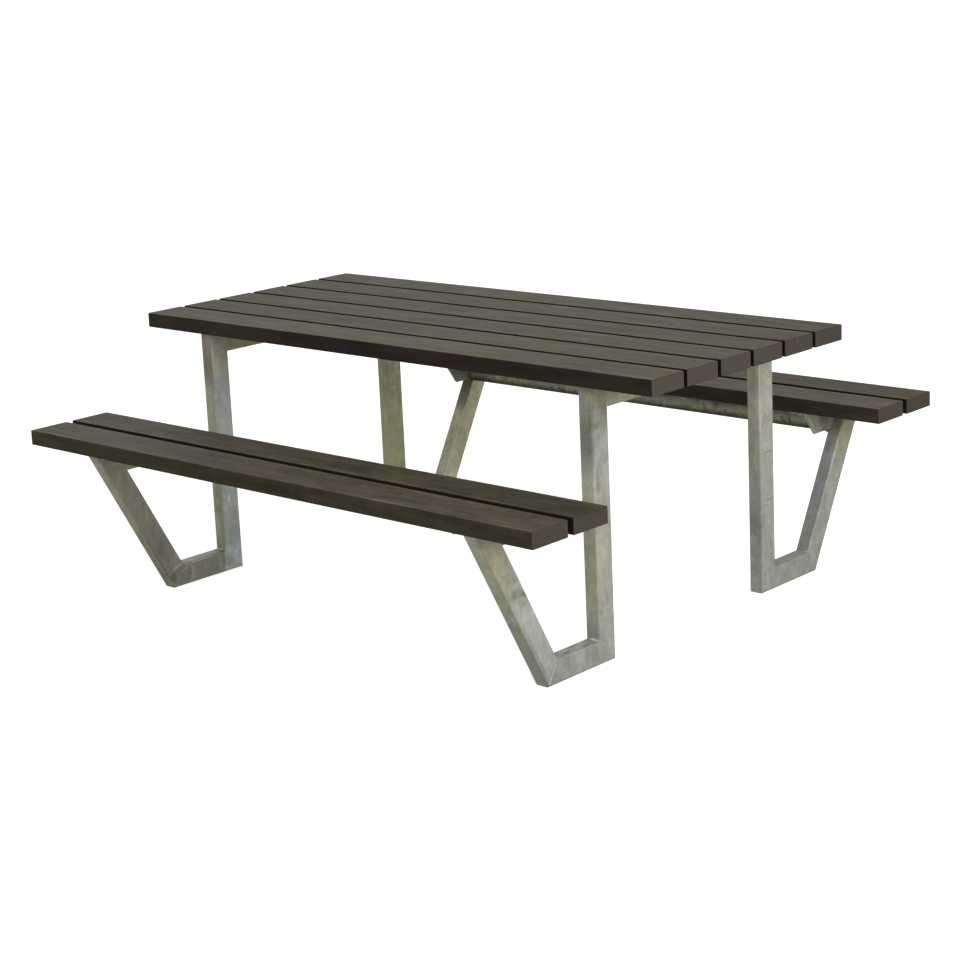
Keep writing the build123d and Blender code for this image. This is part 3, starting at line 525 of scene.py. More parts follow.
ZINC_MARKS = {
    "right_front_diagonal": [
        # greyer band below the bench, a dark smudge with a sharp lower edge, cool lower half
        mark((XO, -636, 272), Y_, Z_, (60, 33), (0.88, 0.91, 0.93), 0.85, 0.05, kind="box", soft=0.06, warp=0.008),
        mark((XO, -650, 262), Y_, Z_, (30, 16), (1.10, 1.10, 1.08), 0.7, soft=0.8, warp=0.02),
        mark((XO, -630, 250), (0, 1, -0.14), (0, 0.14, 1), (36, 11), (0.74, 0.76, 0.78), 0.9, kind="box", soft=0.3, warp=0.010),
        mark((XO, -614, 245), (0, 1, -0.14), (0, 0.14, 1), (17, 8), (0.52, 0.54, 0.55), 0.95, soft=0.4, warp=0.006),
        mark((XO, -640, 275), (0, 1, 0.5), (0, -0.5, 1), (22, 8), (1.14, 1.14, 1.14), 0.8, soft=0.8, warp=0.01),
        mark((XO, -560, 90), Y_, Z_, (120, 149), (0.95, 0.97, 1.01), 0.95, kind="box", soft=0.03, warp=0.003),
        mark((XO, -545, 60), Y_, Z_, (110, 90), (0.88, 0.90, 0.90), 0.95, soft=0.9, warp=0.01),
        mark((XO, -560, 90), DGF, (0, math.cos(LEAN), math.sin(LEAN)), (60, 26), (0.90, 0.93, 0.95), 0.9,
             soft=0.9, warp=0.03),
        # painted shade on the lower face near the foot
        mark((670, -575, 60), X_, DGF, (40, 150), (0.58, 0.60, 0.62), 0.9, reach=0.008, soft=0.9, warp=0.02),
        mark((XO, -720, 350), DGF, (0, math.cos(LEAN), math.sin(LEAN)), (85, 30), (1.04, 0.96, 0.80), 0.8,
             soft=0.8, warp=0.03),
        mark((XO, -786, 408), DGF, (0, math.cos(LEAN), math.sin(LEAN)), (36, 26), BLUE, 0.9, soft=0.6,
             warp=0.02),
        mark((XO, -752, 404), (0, 1, -0.5), (0, 0.5, 1), (24, 3.0), LIGHT, 0.8, soft=0.7, warp=0.006),
        mark((XO, -744, 382), (0, 1, 0.9), (0, -0.9, 1), (16, 2.2), LIGHT, 0.8, soft=0.7, warp=0.004),
        mark((XO, -604, 190), (0, 1, 0.4), (0, -0.4, 1), (20, 4), (1.16, 1.16, 1.14), 0.7, soft=0.8, warp=0.02),
        # painted shade on the lower face under the bench
        mark((670, -742, 330), X_, DGF, (24, 10), (0.76, 0.78, 0.78), 0.7, reach=0.040, soft=0.8,
             warp=0.02),
    ],
    "right_front_foot": [
        mark((XO, -470, 25), Y_, Z_, (50, 22), GREY, 0.45, soft=0.9, warp=0.04),
        mark((670, -450, 60), Y_, X_, (95, 22), (1.45, 1.47, 1.52), 0.9, reach=0.004, soft=0.5, warp=0.01),
        mark((664, -505, 60), Y_, X_, (24, 6), (0.50, 0.50, 0.50), 0.9, reach=0.004, soft=0.8, warp=0.02),
        mark((676, -470, 60), Y_, X_, (26, 4), (0.55, 0.55, 0.55), 0.9, reach=0.004, soft=0.8, warp=0.02),
        mark((662, -425, 60), Y_, X_, (20, 5), (0.52, 0.52, 0.52), 0.9, reach=0.004, soft=0.8, warp=0.02),
        mark((680, -400, 60), Y_, X_, (12, 6), (0.60, 0.60, 0.60), 0.9, reach=0.004, soft=0.8, warp=0.02),
        mark((XO, -360, 20), Y_, Z_, (40, 20), (0.92, 0.94, 0.96), 0.6, soft=0.8, warp=0.03),
    ],
    "right_front_leg": [
        # grey upper length that stops in a soft level edge, two smudges, a thin pale line
        mark((XO, -333, 628), Y_, Z_, (40, 60), (0.95, 0.95, 0.93), 0.95, kind="box", soft=0.05, warp=0.004),
        mark((XO, -333, 662), Y_, Z_, (60, 38), (1.14, 1.05, 0.88), 0.9, soft=0.6, warp=0.02),
        mark((XO, -333, 591), Y_, Z_, (40, 19), (0.90, 0.93, 0.98), 0.95, kind="box", soft=0.15, warp=0.006),
        mark((XO, -322, 600), Y_, Z_, (14, 34), (0.93, 0.94, 0.95), 0.8, soft=0.8, warp=0.02),
        mark((XO, -349, 578), Y_, Z_, (14, 12), DARK, 0.8, 0.05, soft=0.9, warp=0.02),
        mark((XO, -350, 436), Y_, Z_, (8, 22), (0.66, 0.68, 0.68), 0.8, soft=0.9, warp=0.02),
        mark((XO, -330, 480), Y_, Z_, (40, 92), (1.07, 1.06, 1.14), 0.9, kind="box", soft=0.3, warp=0.02),
        mark((XO, -326, 136), Y_, Z_, (20, 1.8), LIGHT, 0.8, soft=0.8, warp=0.003),
        mark((XO, -314, 85), Y_, Z_, (14, 46), GREY, 0.7, soft=0.8, warp=0.02),
        mark((XO, -333, 300), Y_, Z_, (16, 60), (1.08, 1.08, 1.06), 0.5, soft=0.9, warp=0.04),
        # painted shadow of the table top: the upper front face is darkened here and, bluish, in the mark two lines down
        mark((670, -363, 600), X_, Z_, (60, 130), (0.80, 0.80, 0.76), 0.95, reach=0.006, kind="box", soft=0.6, warp=0.02),
        mark((670, -363, 337), X_, Z_, (60, 420), (1.10, 1.09, 1.07), 1.0, reach=0.004, kind="box", soft=0.05),
        mark((670, -363, 533), X_, Z_, (50, 62), (0.72, 0.76, 0.84), 0.95, reach=0.006, soft=0.9, warp=0.02),
        mark((670, -363, 240), X_, Z_, (50, 150), (1.03, 1.02, 0.91), 0.9, reach=0.006, soft=0.7, warp=0.03),
        mark((670, -363, 70), X_, Z_, (50, 34), (0.78, 0.81, 0.88), 0.9, reach=0.006, soft=0.9, warp=0.02),
        mark((XO, -305, 66), Y_, Z_, (4, 44), (0.60, 0.60, 0.62), 0.9, soft=0.8, warp=0.006),
        mark((XO, -304, 6), Y_, Z_, (10, 7), (0.55, 0.55, 0.55), 0.9, soft=0.8, warp=0.01),
    ],
    "left_front_foot": [
        mark((-XI, -522, 31), Y_, Z_, (42, 29), (0.82, 0.85, 0.92), 0.9, soft=0.2, warp=0.020),
        mark((-XI, -522, 31), Y_, Z_, (42, 29), (1.40, 1.41, 1.38), 0.50, soft=0.13, warp=0.026, kind="ring"),
        mark((-XI, -512, 44), (0, 1, 0.3), (0, -0.3, 1), (14, 3), (1.7, 1.7, 1.65), 0.8, soft=0.8, warp=0.02),
        mark((-XI, -488, 24), (0, 0.4, 1), (0, 1, -0.4), (15, 2.5), (1.4, 1.4, 1.4), 0.7, soft=0.8, warp=0.02),
        mark((-XI, -497, 30), Y_, Z_, (7, 6), (0.70, 0.70, 0.70), 0.7, soft=0.8, warp=0.02),
        mark((-XI, -330, 30), Y_, Z_, (38, 60), (1.50, 1.66, 1.90), 0.95, kind="box", soft=0.05, warp=0.010),
        mark((-XI, -350, 33), Y_, Z_, (30, 24), (1.35, 1.35, 1.35), 0.6, soft=0.18, warp=0.04, kind="ring"),
        mark((-XI, -360, 22), Y_, Z_, (10, 8), (0.7, 0.7, 0.7), 0.6, soft=0.8, warp=0.02),
        mark((-670, -450, 60), Y_, X_, (90, 24), (2.7, 2.7, 2.65), 0.9, reach=0.006, soft=0.5, warp=0.01),
    ],
    "left_front_diagonal": [
        mark((-XI, -620, 165), DGF, (0, math.cos(LEAN), math.sin(LEAN)), (150, 60), (0.80, 0.80, 0.80), 0.8,
             reach=0.003, soft=0.9, warp=0.03),
        mark((-XI, -572, 80), DGF, (0, math.cos(LEAN), math.sin(LEAN)), (110, 70), (0.70, 0.71, 0.69), 0.9, reach=0.003,
             soft=0.7, warp=0.02),
        mark((-XI, -522, 31), Y_, Z_, (42, 29), (0.71, 0.74, 0.79), 0.9, soft=0.2, warp=0.020),
        mark((-XI, -522, 31), Y_, Z_, (42, 29), (1.55, 1.57, 1.53), 0.75, soft=0.13, warp=0.026, kind="ring"),
        mark((-XI, -546, 50), (0, 1, 0.9), (0, -0.9, 1), (16, 3.0), (1.3, 1.3, 1.28), 0.7, soft=0.8, warp=0.02),
        mark((-670, -664, 212), X_, DGF, (40, 300), (1.22, 1.22, 1.16), 0.9, reach=0.003, kind="box", soft=0.1),
        mark((-XI, -711, 383), Y_, Z_, (34, 2.6), (1.35, 1.35, 1.3), 0.7, soft=0.6, warp=0.008),
        mark((-XI, -690, 300), DGF, Y_, (60, 16), (0.92, 0.90, 0.84), 0.6, soft=0.9, warp=0.03),
        mark((-XI, -590, 110), DGF, Y_, (60, 26), (0.9, 0.93, 0.98), 0.6, soft=0.9, warp=0.04),
        # painted shade low on the lower face and in the corner with the foot
        mark((-670, -LEAN_AT(0.085) * 1000, 85), X_, DGF, (60, 110), (0.64, 0.64, 0.62), 0.9, reach=0.003, soft=0.7,
             warp=0.01),
        mark((-670, -555, 20), X_, DGF, (60, 60), (0.70, 0.70, 0.70), 0.95, reach=0.020, soft=0.8, warp=0.02),
    ],
    "left_front_leg": [
        # painted shadow of the table top, darkening the upper front face
        mark((-670, -363, 592), X_, Z_, (60, 66), (0.66, 0.64, 0.64), 0.95, reach=0.003, soft=0.7, warp=0.02),
        mark((-XI, -359, 622), Y_, Z_, (4.0, 36), (1.26, 1.28, 1.27), 0.8, reach=0.006, soft=0.6, warp=0.003),
        mark((-XI, -333, 337), Y_, Z_, (60, 420), (0.99, 1.02, 1.15), 1.0, reach=0.003, kind="box", soft=0.1),
        mark((-670, -363, 337), X_, Z_, (60, 420), (0.91, 0.94, 0.75), 1.0, reach=0.003, kind="box", soft=0.1),
        mark((-670, -363, 620), X_, Z_, (60, 110), (0.99, 0.86, 0.96), 0.9, reach=0.003, kind="box", soft=0.4),
        mark((-XI, -333, 640), Y_, Z_, (60, 90), (1.06, 0.95, 0.82), 1.0, reach=0.003, kind="box", soft=0.3),
        mark((-XI, -333, 110), Y_, Z_, (70, 62), (0.80, 0.80, 0.77), 0.9, soft=0.9, warp=0.02),
        mark((-XI, -333, 28), Y_, Z_, (60, 30), (0.84, 0.88, 0.93), 0.9, kind="box", soft=0.3, warp=0.02),
        mark((-XI, -350, 33), Y_, Z_, (30, 24), (1.35, 1.35, 1.35), 0.6, soft=0.18, warp=0.04, kind="ring"),
        mark((-XI, -318, 52), (0, 1, 0.6), (0, -0.6, 1), (18, 4), (1.5, 1.5, 1.5), 0.7, soft=0.8, warp=0.03),
        mark((-XI, -338, 205), Y_, Z_, (7, 10), (1.45, 1.45, 1.5), 0.8, soft=0.8, warp=0.01),
        mark((-XI, -326, 240), Y_, Z_, (5, 12), (1.4, 1.4, 1.45), 0.7, soft=0.8, warp=0.01),
        mark((-XI, -335, 640), Y_, Z_, (40, 46), (0.92, 0.94, 0.95), 0.7, kind="box", soft=0.3, warp=0.015),
        mark((-XI, -345, 180), Y_, Z_, (16, 70), (1.10, 1.10, 1.08), 0.6, soft=0.9, warp=0.04),
        mark((-XI, -325, 100), Y_, Z_, (20, 40), BLUE, 0.7, soft=0.7, warp=0.03),
    ],
    "right_rear_leg": [
        mark((670, 303, 360), X_, Z_, (50, 90), (1.14, 1.14, 1.19), 0.9, reach=0.004, soft=0.9),
        mark((670, 303, 380), X_, Z_, (60, 110), (0.99, 0.96, 0.85), 0.9, reach=0.004, soft=0.8, warp=0.02),
        mark((670, 303, 150), X_, Z_, (26, 170), (0.83, 0.83, 0.84), 0.9, reach=0.004, soft=0.7, warp=0.03),
        # painted light: the upper part of the face towards the table is lightened
        mark((670, 303, 560), X_, Z_, (50, 160), (1.36, 1.34, 1.32), 0.9, reach=0.004, soft=0.7, warp=0.03),
        mark((XO, 345, 372), (0, 1, -0.2), Z_, (32, 2.2), (0.52, 0.54, 0.52), 0.85, soft=0.6, warp=0.008),
        mark((XO, 362, 384), Y_, Z_, (10, 2.0), (0.55, 0.57, 0.50), 0.8, soft=0.6, warp=0.008),
        mark((XO, 322, 358), Y_, Z_, (2.0, 16), (0.62, 0.64, 0.62), 0.8, soft=0.6, warp=0.006),
        mark((XO, 342, 247), (0, 1, -0.24), Z_, (32, 2.0), (0.54, 0.55, 0.55), 0.85, soft=0.6, warp=0.006),
        mark((XO, 325, 232), Y_, Z_, (8, 2.0), (0.62, 0.63, 0.62), 0.8, soft=0.6, warp=0.006),
        mark((XO, 333, 60), Y_, Z_, (60, 60), (0.93, 0.95, 0.98), 0.9, soft=0.9, warp=0.03),
        mark((XO, 335, 540), Y_, Z_, (60, 150), (1.25, 1.24, 1.19), 0.9, soft=0.6, warp=0.03),
        mark((XO, 335, 240), Y_, Z_, (60, 120), (0.93, 0.93, 0.94), 0.9, soft=0.6, warp=0.03),
        mark((XO, 325, 420), Y_, Z_, (12, 26), (0.90, 0.91, 0.90), 0.7, soft=0.9, warp=0.03),
    ],
    "right_rear_foot": [
        mark((670, 450, 60), Y_, X_, (90, 24), (1.26, 1.26, 1.20), 0.9, reach=0.004, soft=0.6, warp=0.015),
    ],
    "right_rear_diagonal": [
        mark((670, (DIAG_TOP + FOOT_OUT) * 500 - DIAG_W * 1000, 212), X_, DG, (60, 400), (0.95, 0.98, 1.08), 1.0,
             reach=0.004, kind="box", soft=0.1),
        mark((670, DIAG_IN_AT(0.320), 320), X_, DG, (60, 70), (1.45, 1.41, 1.45), 0.95, reach=0.004, soft=0.8),
        # painted shadow and painted brown reflection of the bench at the top of the inner face
        mark((670, DIAG_IN_AT(0.390), 390), X_, DG, (60, 50), (0.98, 0.90, 0.76), 1.0, reach=0.004, kind="box",
             soft=0.06, warp=0.003),
        mark((XO, 555, 90), Y_, Z_, (80, 130), (0.95, 0.96, 0.97), 0.9, reach=0.003, kind="box", soft=0.4, warp=0.01),
        mark((XO, 588, 190), DG, (0, math.cos(LEAN), -math.sin(LEAN)), (50, 20), (0.93, 0.92, 0.86), 0.8,
             soft=0.9, warp=0.02),
        mark((XO, 540, 24), Y_, Z_, (14, 14), (0.78, 0.84, 0.90), 0.8, soft=0.9, warp=0.015),
        mark((XO, 690, 350), DG, (0, math.cos(LEAN), -math.sin(LEAN)), (90, 50), (1.15, 1.14, 0.94), 0.95,
             soft=0.6, warp=0.02),
    ],
    "right_rear_seat_angle": [
        # painted light on the angle's upright: the pale band and the bright line along its bevelled edge are painted
        # highlight, the white dot a painted glint at the weld, the two dark marks painted shadow towards the diagonal
        mark((656, 612, 392), (0, 0.55, -0.83), (0, 0.83, 0.55), (44, 14), (1.14, 1.14, 1.12), 0.8, soft=0.8,
             warp=0.01),
        mark((656, 586, 394), (0, 0.569, -0.822), (0, 0.822, 0.569), (44, 4.5), (1.35, 1.35, 1.32), 0.9,
             soft=0.4, warp=0.003),
        mark((656, 632, 371), Y_, Z_, (4, 4), (1.6, 1.6, 1.6), 0.9, soft=0.5),
        mark((656, 648, 388), Y_, Z_, (30, 40), (0.62, 0.61, 0.58), 0.9, soft=0.9, warp=0.02),
        mark((656, 646, 366), Y_, Z_, (10, 7), (0.55, 0.55, 0.55), 0.8, soft=0.8, warp=0.01),
    ],
    "left_rear_seat_angle": [
        # painted shadow: the upright darkens towards the diagonal
        mark((-650, 606, 392), Y_, Z_, (30, 40), (0.92, 0.91, 0.93), 0.9, soft=0.5, warp=0.01),
        mark((-650, 655, 385), Y_, Z_, (22, 40), (0.82, 0.80, 0.74), 0.9, soft=0.5, warp=0.01),
    ],
    "left_rear_diagonal": [
        mark((-670, (DIAG_TOP + FOOT_OUT) * 500 - DIAG_W * 1000, 212), X_, DG, (60, 400), (1.20, 1.20, 1.15), 1.0,
             reach=0.004, kind="box", soft=0.1),
        mark((-670, DIAG_IN_AT(0.250), 250), X_, DG, (60, 80), (1.14, 1.14, 1.14), 0.95, reach=0.004, soft=0.8),
        # painted shadow of the bench at the top of the inner face, in this mark and the next but one
        mark((-670, DIAG_IN_AT(0.380), 380), X_, DG, (80, 128), (0.62, 0.59, 0.54), 0.95, reach=0.004, kind="box", soft=0.14,
             warp=0.006),
        mark((-670, DIAG_IN_AT(0.360), 360), X_, DG, (80, 62), (0.66, 0.66, 0.72), 0.95, reach=0.004, soft=0.8),
        mark((-XI, 672, 310), DG, (0, math.cos(LEAN), -math.sin(LEAN)), (100, 50), (1.20, 1.18, 1.24), 0.9, reach=0.003,
             soft=0.6, warp=0.01),
        mark((-XI, 640, 270), DG, (0, math.cos(LEAN), -math.sin(LEAN)), (60, 8), (0.80, 0.80, 0.76), 0.7, soft=0.9,
             warp=0.03),
        mark((-XI, 600, 220), DG, (0, math.cos(LEAN), -math.sin(LEAN)), (50, 60), (1.02, 0.98, 0.86), 0.8,
             soft=0.7, warp=0.03),
    ],
    "left_top_bearer": [
        mark((-XI, -333, 685), Y_, Z_, (30.5, 60), (1.10, 1.12, 1.30), 1.0, reach=0.003, kind="box", soft=0.01),
    ],
    "left_rear_leg": [
        mark((-XI, 333, 400), Y_, Z_, (60, 420), (0.91, 0.92, 0.89), 1.0, reach=0.003, kind="box", soft=0.1),
        mark((-670, 303, 337), X_, Z_, (60, 420), (1.20, 1.20, 1.14), 1.0, reach=0.003, kind="box", soft=0.1),
        mark((-XI, 345, 350), Y_, Z_, (8, 60), DARK, 0.6, soft=0.9, warp=0.03),
        mark((-XI, 330, 470), Y_, Z_, (3, 40), (0.62, 0.60, 0.55), 0.8, soft=0.8, warp=0.02),
        mark((-XI, 350, 420), (0, 1, 0.8), (0, -0.8, 1), (20, 2), (0.66, 0.64, 0.60), 0.7, soft=0.8, warp=0.01),
        mark((-XI, 335, 395), Y_, Z_, (22, 4), (1.22, 1.22, 1.18), 0.7, soft=0.8, warp=0.01),
        mark((-667, 303, 390), X_, Z_, (5, 40), DARK, 0.6, soft=0.9, warp=0.02),
    ],
}
# per part, how far painted shade darkens the rounded tube corners
CORNER_SHADE = {"right_front_foot": 0.74, "right_rear_foot": 0.80, "left_front_foot": 0.95, "left_rear_foot": 0.95,
          "right_rear_diagonal": 0.84, "right_front_diagonal": 0.86}
for side, sx in SIDES:
    parts = [f"{side}_top_bearer"] + [f"{side}_{end}_{part}" for end, sy in ENDS
                                      for part in ("leg", "foot", "diagonal", "seat_angle")]
    for n in parts:
        k, tint = ZINC_TONE_AND_SHADE_K[n]
        give(n, zinc_material(n + "_zinc", 23.0 + 4.0 * sx + (1.3 if "angle" in n else 0.0), *zinc_set(k, tint),
                              corner=CORNER_SHADE.get(n, 0.90), marks=ZINC_MARKS.get(n, ())))

# the pipe's underside gets painted shade through the under setting
PIPE_MAT = zinc_material("pipe_zinc", 80.0, (0.320, 0.312, 0.265), (0.190, 0.178, 0.145), (0.46, 0.45, 0.39),
                         patches=0.7, corner=1.0, under=(0.02, -0.78, (0.06, 0.05, 0.035)),
                         marks=[
    mark((-520, 679, 383), X_, Z_, (10, 60), (1.35, 1.35, 1.32), 0.8, reach=0.060, soft=0.8, warp=0.006),
    mark((-610, 679, 383), X_, Z_, (70, 90), (0.50, 0.49, 0.50), 0.95, reach=0.060, soft=0.6, warp=0.01),
])
BAR_MAT = zinc_material("bar_zinc", 84.0, *zinc_set(0.5))
give("rear_bench_pipe", PIPE_MAT)
for n in ("front_bench_cross_bars", "rear_bench_cross_bars", "table_cross_bars"):
    give(n, BAR_MAT)
FAST = fastener_material("fastener")
for n in ("table_bearer_screws", "table_bar_screws", "bench_angle_screws", "bench_bar_screws",
          "table_washers", "bench_washers"):
    give(n, FAST)
WELD = weld_material("weld_zinc", 3.0)
FILLET = zinc_material("fillet_zinc", 5.0, *zinc_set(1.3))


# --------------------------------------------------------------------------
# weld beads
# --------------------------------------------------------------------------
def rings_object(name, rings, loop, material):
    """A closed skin over rings of equal length; open runs get capped ends."""
    bm = bmesh.new()
    rows = [[bm.verts.new(v) for v in r] for r in rings]
    n = len(rows[0])
    count = len(rows) if loop else len(rows) - 1
    for a in range(count):
        r0, r1 = rows[a], rows[(a + 1) % len(rows)]
        for k in range(n):
            bm.faces.new((r0[k], r0[(k + 1) % n], r1[(k + 1) % n], r1[k]))
    if not loop:
        bm.faces.new(list(reversed(rows[0])))
        bm.faces.new(rows[-1])
    bmesh.ops.recalc_face_normals(bm, faces=bm.faces)
    me = bpy.data.meshes.new(name)
    bm.to_mesh(me)
    bm.free()
    for f in me.polygons:
        f.use_smooth = True
    o = bpy.data.objects.new(name, me)
    bpy.context.scene.collection.objects.link(o)
    me.materials.append(material)
    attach(o, "root")
    return o


def bead(name, path, outs, radius, seed, loop=False, pitch=0.0035, flat=1.0, material=None,
         seg=12, sink=0.35):
    """A weld bead along path. outs gives, at each path point, the direction that the bead
    bulges to. flat < 1 makes a low, dressed bead."""
    rnd = random.Random(seed)
    pts, dirs = [], []
    total = 0.0
    segs = list(range(len(path) if loop else len(path) - 1))
    step = pitch / 5.0
    for a in segs:
        p0, p1 = Vector(path[a]), Vector(path[(a + 1) % len(path)])
        o0, o1 = Vector(outs[a]), Vector(outs[(a + 1) % len(path)])
        n = max(1, round((p1 - p0).length / step))
        for k in range(n):
            pts.append(p0.lerp(p1, k / n))
            dirs.append(o0.lerp(o1, k / n).normalized())
    if not loop:
        pts.append(Vector(path[-1]))
        dirs.append(Vector(outs[-1]).normalized())
    rings = []
    s = 0.0
    m = len(pts)
    ph = rnd.random() * 6.28
    for k in range(m):
        prev, nxt = pts[(k - 1) % m], pts[(k + 1) % m]
        if not loop:
            prev, nxt = pts[max(k - 1, 0)], pts[min(k + 1, m - 1)]
        tan = (nxt - prev).normalized()
        out = (dirs[k] - tan * dirs[k].dot(tan)).normalized()
        lat = tan.cross(out)
        if k:
            s += (pts[k] - pts[k - 1]).length
        length_left = min(s, 1e9)
        rip = math.sin(2 * math.pi * s / pitch + ph)
        wob = noise.noise(Vector((s * 90.0, seed * 3.7, 0.0)))
        r = radius * (1.0 + 0.10 * rip + 0.16 * wob)
        if not loop:
            total_len = step * (m - 1)
            e = min(s, max(total_len - s, 0.0)) / (radius * 1.4)
            r *= min(1.0, 0.35 + 0.65 * math.sqrt(min(1.0, max(0.0, e))))
        c = pts[k] - out * radius * sink + out * radius * 0.05 * rip
        ring = []
        for j in range(seg):
            a = 2 * math.pi * j / seg
            # the crest of each ripple leans forward, as a chevron
            lead = tan * (math.cos(a) * radius * 0.25)
            ring.append(c + (out * math.cos(a) * flat + lat * math.sin(a)) * r + lead * flat)
        rings.append(ring)
    return rings_object(name, rings, loop, material or WELD)


ANG_T = 0.006
PLATE_X = TUBE_X0 + ANG_T                       # outer side of the upright leg of an angle
DIAG_IN = lambda z: LEAN_AT(z) - DIAG_W         # inner edge of a diagonal
PIPE_Y = (PIPE_LO.y + PIPE_HI.y) / 2
PIPE_Z = (PIPE_LO.z + PIPE_HI.z) / 2
PIPE_R = (PIPE_HI.z - PIPE_LO.z) / 2
COS, SIN = math.cos(LEAN), math.sin(LEAN)


def seam(name, a, b, out, width, height, seed, material=None):
    """A weld that was ground nearly flush: a low, slightly wavy ridge."""
    return bead(name, [a, b], [out, out], width / 2, seed, pitch=0.006, flat=height / (width / 2),
                sink=0.12 * height / (width / 2), material=material)


wid = 0
for side, sx in SIDES:
    xa, xb = sx * (TUBE_X0 + 0.003), sx * (TUBE_X1 - 0.003)
    for end, sy in ENDS:
        wid += 1
        tag = f"{side}_{end}"
        # inner corner between foot and leg
        y, z = sy * LEG_OUT, TUBE_D
        bead(f"weld_leg_foot_{tag}", [(xa, y, z), (xb, y, z)],
             [(0, sy, 1), (0, sy, 1)], 0.0088, wid * 10 + 1, sink=0.60, pitch=0.005,
             material=FILLET)
        # inner corner between bearer and leg
        y, z = sy * LEG_IN, TOP_UNDER - TUBE_D
        bead(f"weld_leg_bearer_{tag}", [(xa, y, z), (xb, y, z)],
             [(0, -sy, -1), (0, -sy, -1)], 0.0088, wid * 10 + 2, sink=0.60, pitch=0.005,
             material=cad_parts[f"{side}_{end}_leg"].data.materials[0])
        # inner corner between foot and diagonal
        y, z = sy * MITRE_Y, TUBE_D
        bead(f"weld_foot_diagonal_{tag}", [(xa, y, z), (xb, y, z)],
             [(0, -sy * 0.5, 1), (0, -sy * 0.5, 1)], 0.0040, wid * 10 + 3)
        # ground seam between foot and diagonal on both sides of the frame; the other mitres are flush
        clear = tag == "right_front"
        for k, (x, nx) in enumerate(((TUBE_X1, 1.0), (TUBE_X0, -1.0))):
            seam(f"seam_foot_diagonal_{k}_{tag}", (sx * x, sy * (MITRE_Y + 0.001), TUBE_D - 0.003),
                 (sx * x, sy * (FOOT_OUT - 0.003), 0.005), (sx * nx, 0, 0), 0.0060 if clear else 0.0050,
                 0.0008 if clear else 0.0004, wid * 10 + 4 + k,
                 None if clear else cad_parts[f"{tag}_foot"].data.materials[0])
        # angle butted on the diagonal: upright bead on its outer side and one on the tube side
        z0, z1 = ANG_LO.z + 0.002, SEAT_UNDER - 0.009
        n = (0, -sy * COS, SIN)                 # off the inner edge of the diagonal
        path = [(sx * PLATE_X, sy * DIAG_IN(z), z) for z in (z0, z1)]
        bead(f"weld_angle_diagonal_{tag}", path, [(sx, n[1], n[2])] * 2, 0.0036, wid * 10 + 41)
        path = [(sx * TUBE_X0, sy * (DIAG_IN(z) - 0.0005), z) for z in (z0, z1 - 0.006)]
        seam(f"seam_angle_diagonal_{tag}", path[0], path[1], (-sx, 0, 0), 0.006, 0.0010, wid * 10 + 42)
        # level leg of the angle along the inner side of the diagonal
        zf = SEAT_UNDER - ANG_T
        ya, yb = DIAG_IN(zf) + 0.006, LEAN_AT(zf) - 0.004
        bead(f"weld_angle_shelf_{tag}", [(sx * TUBE_X0, sy * ya, zf), (sx * TUBE_X0, sy * yb, zf)],
             [(-sx, 0, -1)] * 2, 0.0032, wid * 10 + 43)

# pipe ends against the end frames, and the flat bars on the pipe
for side, sx in SIDES:
    path, outs = [], []
    for k in range(48):
        a = 2 * math.pi * k / 48
        c, s_ = math.cos(a), math.sin(a)
        path.append((sx * TUBE_X0, PIPE_Y + c * PIPE_R, PIPE_Z + s_ * PIPE_R))
        outs.append((-sx, c, s_))
    bead(f"weld_pipe_{side}", path, outs, 0.0030, 90 + sx, loop=True,
         material=PIPE_MAT)
BAR_LO, BAR_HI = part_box("rear_bench_cross_bars")
BAR_X1 = BAR_HI.x
BAR_X0 = BAR_X1 - 0.050
for side, sx in SIDES:
    for k, e in (("a", -1.0), ("b", 1.0)):
        h = 0.010
        z = PIPE_Z + math.sqrt(PIPE_R ** 2 - h * h)
        bead(f"weld_bar_{side}_{k}",
             [(sx * (BAR_X0 + 0.005), PIPE_Y + e * h, z), (sx * (BAR_X1 - 0.005), PIPE_Y + e * h, z)],
             [(0, e, -0.2)] * 2, 0.0022, 120 + sx + 5 * e, sink=0.1,
             material=BAR_MAT)

# --------------------------------------------------------------------------
# stage: pale floor, soft light, camera
# --------------------------------------------------------------------------
def floor_material():
    m = bpy.data.materials.new("floor_pale")
    m.use_nodes = True
    t = Tree(m.node_tree)
    tc = t.add("ShaderNodeTexCoord")
    a = t.noise(tc.outputs["Object"], 3.0, 4.0, 0.5)
    col = t.mix(a, (0.86, 0.86, 0.86), (0.90, 0.90, 0.90))
    b = principled(t, Base_Color=col, Roughness=0.9, Specular_IOR_Level=0.0)
    b.inputs["Emission Color"].default_value = (1.0, 1.0, 1.0, 1.0)
    b.inputs["Emission Strength"].default_value = 0.66
    return m


bm = bmesh.new()
bmesh.ops.create_grid(bm, x_segments=8, y_segments=8, size=150.0)
me = bpy.data.meshes.new("floor")
bm.to_mesh(me)
bm.free()
floor = bpy.data.objects.new("floor", me)
floor.location = (0, 0, -0.0006)
bpy.context.scene.collection.objects.link(floor)
me.materials.append(floor_material())
floor.visible_diffuse = False
floor.visible_glossy = False

